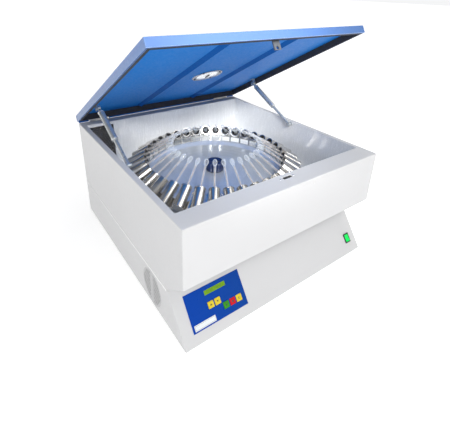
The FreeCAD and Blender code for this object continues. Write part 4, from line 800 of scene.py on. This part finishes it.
def softbox(name, at, aim, size, power):
    light = bpy.data.lights.new(name, "AREA")
    light.shape = "RECTANGLE"
    light.size, light.size_y = size
    light.energy = power
    lamp = bpy.data.objects.new(name, light)
    lamp.location = at
    lamp.rotation_euler = (Vector(aim) - Vector(at)).to_track_quat("-Z", "Y").to_euler()
    bpy.context.scene.collection.objects.link(lamp)


def spotlight(name, at, aim, cone, power):
    light = bpy.data.lights.new(name, "SPOT")
    light.energy = power
    light.spot_size = cone
    light.spot_blend = 0.6
    light.shadow_soft_size = 0.12
    lamp = bpy.data.objects.new(name, light)
    lamp.location = at
    lamp.rotation_euler = (Vector(aim) - lamp.location).to_track_quat("-Z", "Y").to_euler()
    bpy.context.scene.collection.objects.link(lamp)


def paper_floor():
    """Pale seamless paper that the machine stands on."""
    bm = bmesh.new()
    bmesh.ops.create_grid(bm, x_segments=2, y_segments=2, size=30.0)
    mesh = bpy.data.meshes.new("floor")
    bm.to_mesh(mesh)
    bm.free()
    mesh.materials.append(studio_floor("paper_floor"))
    floor = bpy.data.objects.new("floor", mesh)
    bpy.context.scene.collection.objects.link(floor)


def smooth_step(tree, source, **levels):
    """A Map Range node that eases a value from one level to another."""
    step = tree.nodes.new("ShaderNodeMapRange")
    step.interpolation_type = "SMOOTHSTEP"
    for level, number in levels.items():
        step.inputs[level.replace("_", " ").title()].default_value = number
    tree.links.new(source, step.inputs["Value"])
    return step


def surround():
    """Surround that is bright up to the horizon and dim above it, dimmest on the left."""
    world = bpy.data.worlds.new("studio")
    world.use_nodes = True
    bpy.context.scene.world = world
    tree = world.node_tree
    ground = tree.nodes["Background"]
    ground.inputs["Color"].default_value = (0.985, 0.99, 1.0, 1)
    place = tree.nodes.new("ShaderNodeTexCoord")
    apart = tree.nodes.new("ShaderNodeSeparateXYZ")
    tree.links.new(place.outputs["Generated"], apart.inputs[0])
    fall = smooth_step(tree, apart.outputs[0], from_min=-1.0, from_max=0.35, to_min=0.13, to_max=0.34)
    horizon = smooth_step(tree, apart.outputs[2], from_min=0.02, from_max=0.34, to_min=0.93)
    tree.links.new(fall.outputs[0], horizon.inputs["To Max"])
    tree.links.new(horizon.outputs[0], ground.inputs["Strength"])


def lights():
    """Three soft boxes, and a spotlight on the chamber."""
    softbox("overhead", at=(0.3, 0.1, 2.2), aim=(0, 0, 0.2), size=(1.8, 1.8), power=13)
    softbox("key", at=(-1.25, -1.7, 1.68), aim=(0, 0, 0.25), size=(0.7, 0.7), power=27)
    softbox("sheen", at=(0.9, -1.3, 1.9), aim=(0, -0.1, 0.45), size=(1.2, 1.2), power=15)
    cone = math.radians(16)
    spotlight("chamber_spot", at=(-0.7, -1.85, 1.75), aim=(0.13, 0.27, 0.28), cone=cone, power=250)


camera()
paper_floor()
surround()
lights()
bpy.context.scene.view_settings.view_transform = "Standard"
dress_nodes()
soften("upper_casing", 0.8 * MM)
soften("lock_plate label_plate switch_frame mains_inlet fuse_drawer control_panel", 0.3 * MM)
butyrometers()
sleeve_mouth_shade_cups()
hub_knob()
screws()
stay_details()
window_trim()
lid_lining()
seam_highlight_trim()
rear_apron()
display_digits()
key_marks()
label_border()
front_plug()
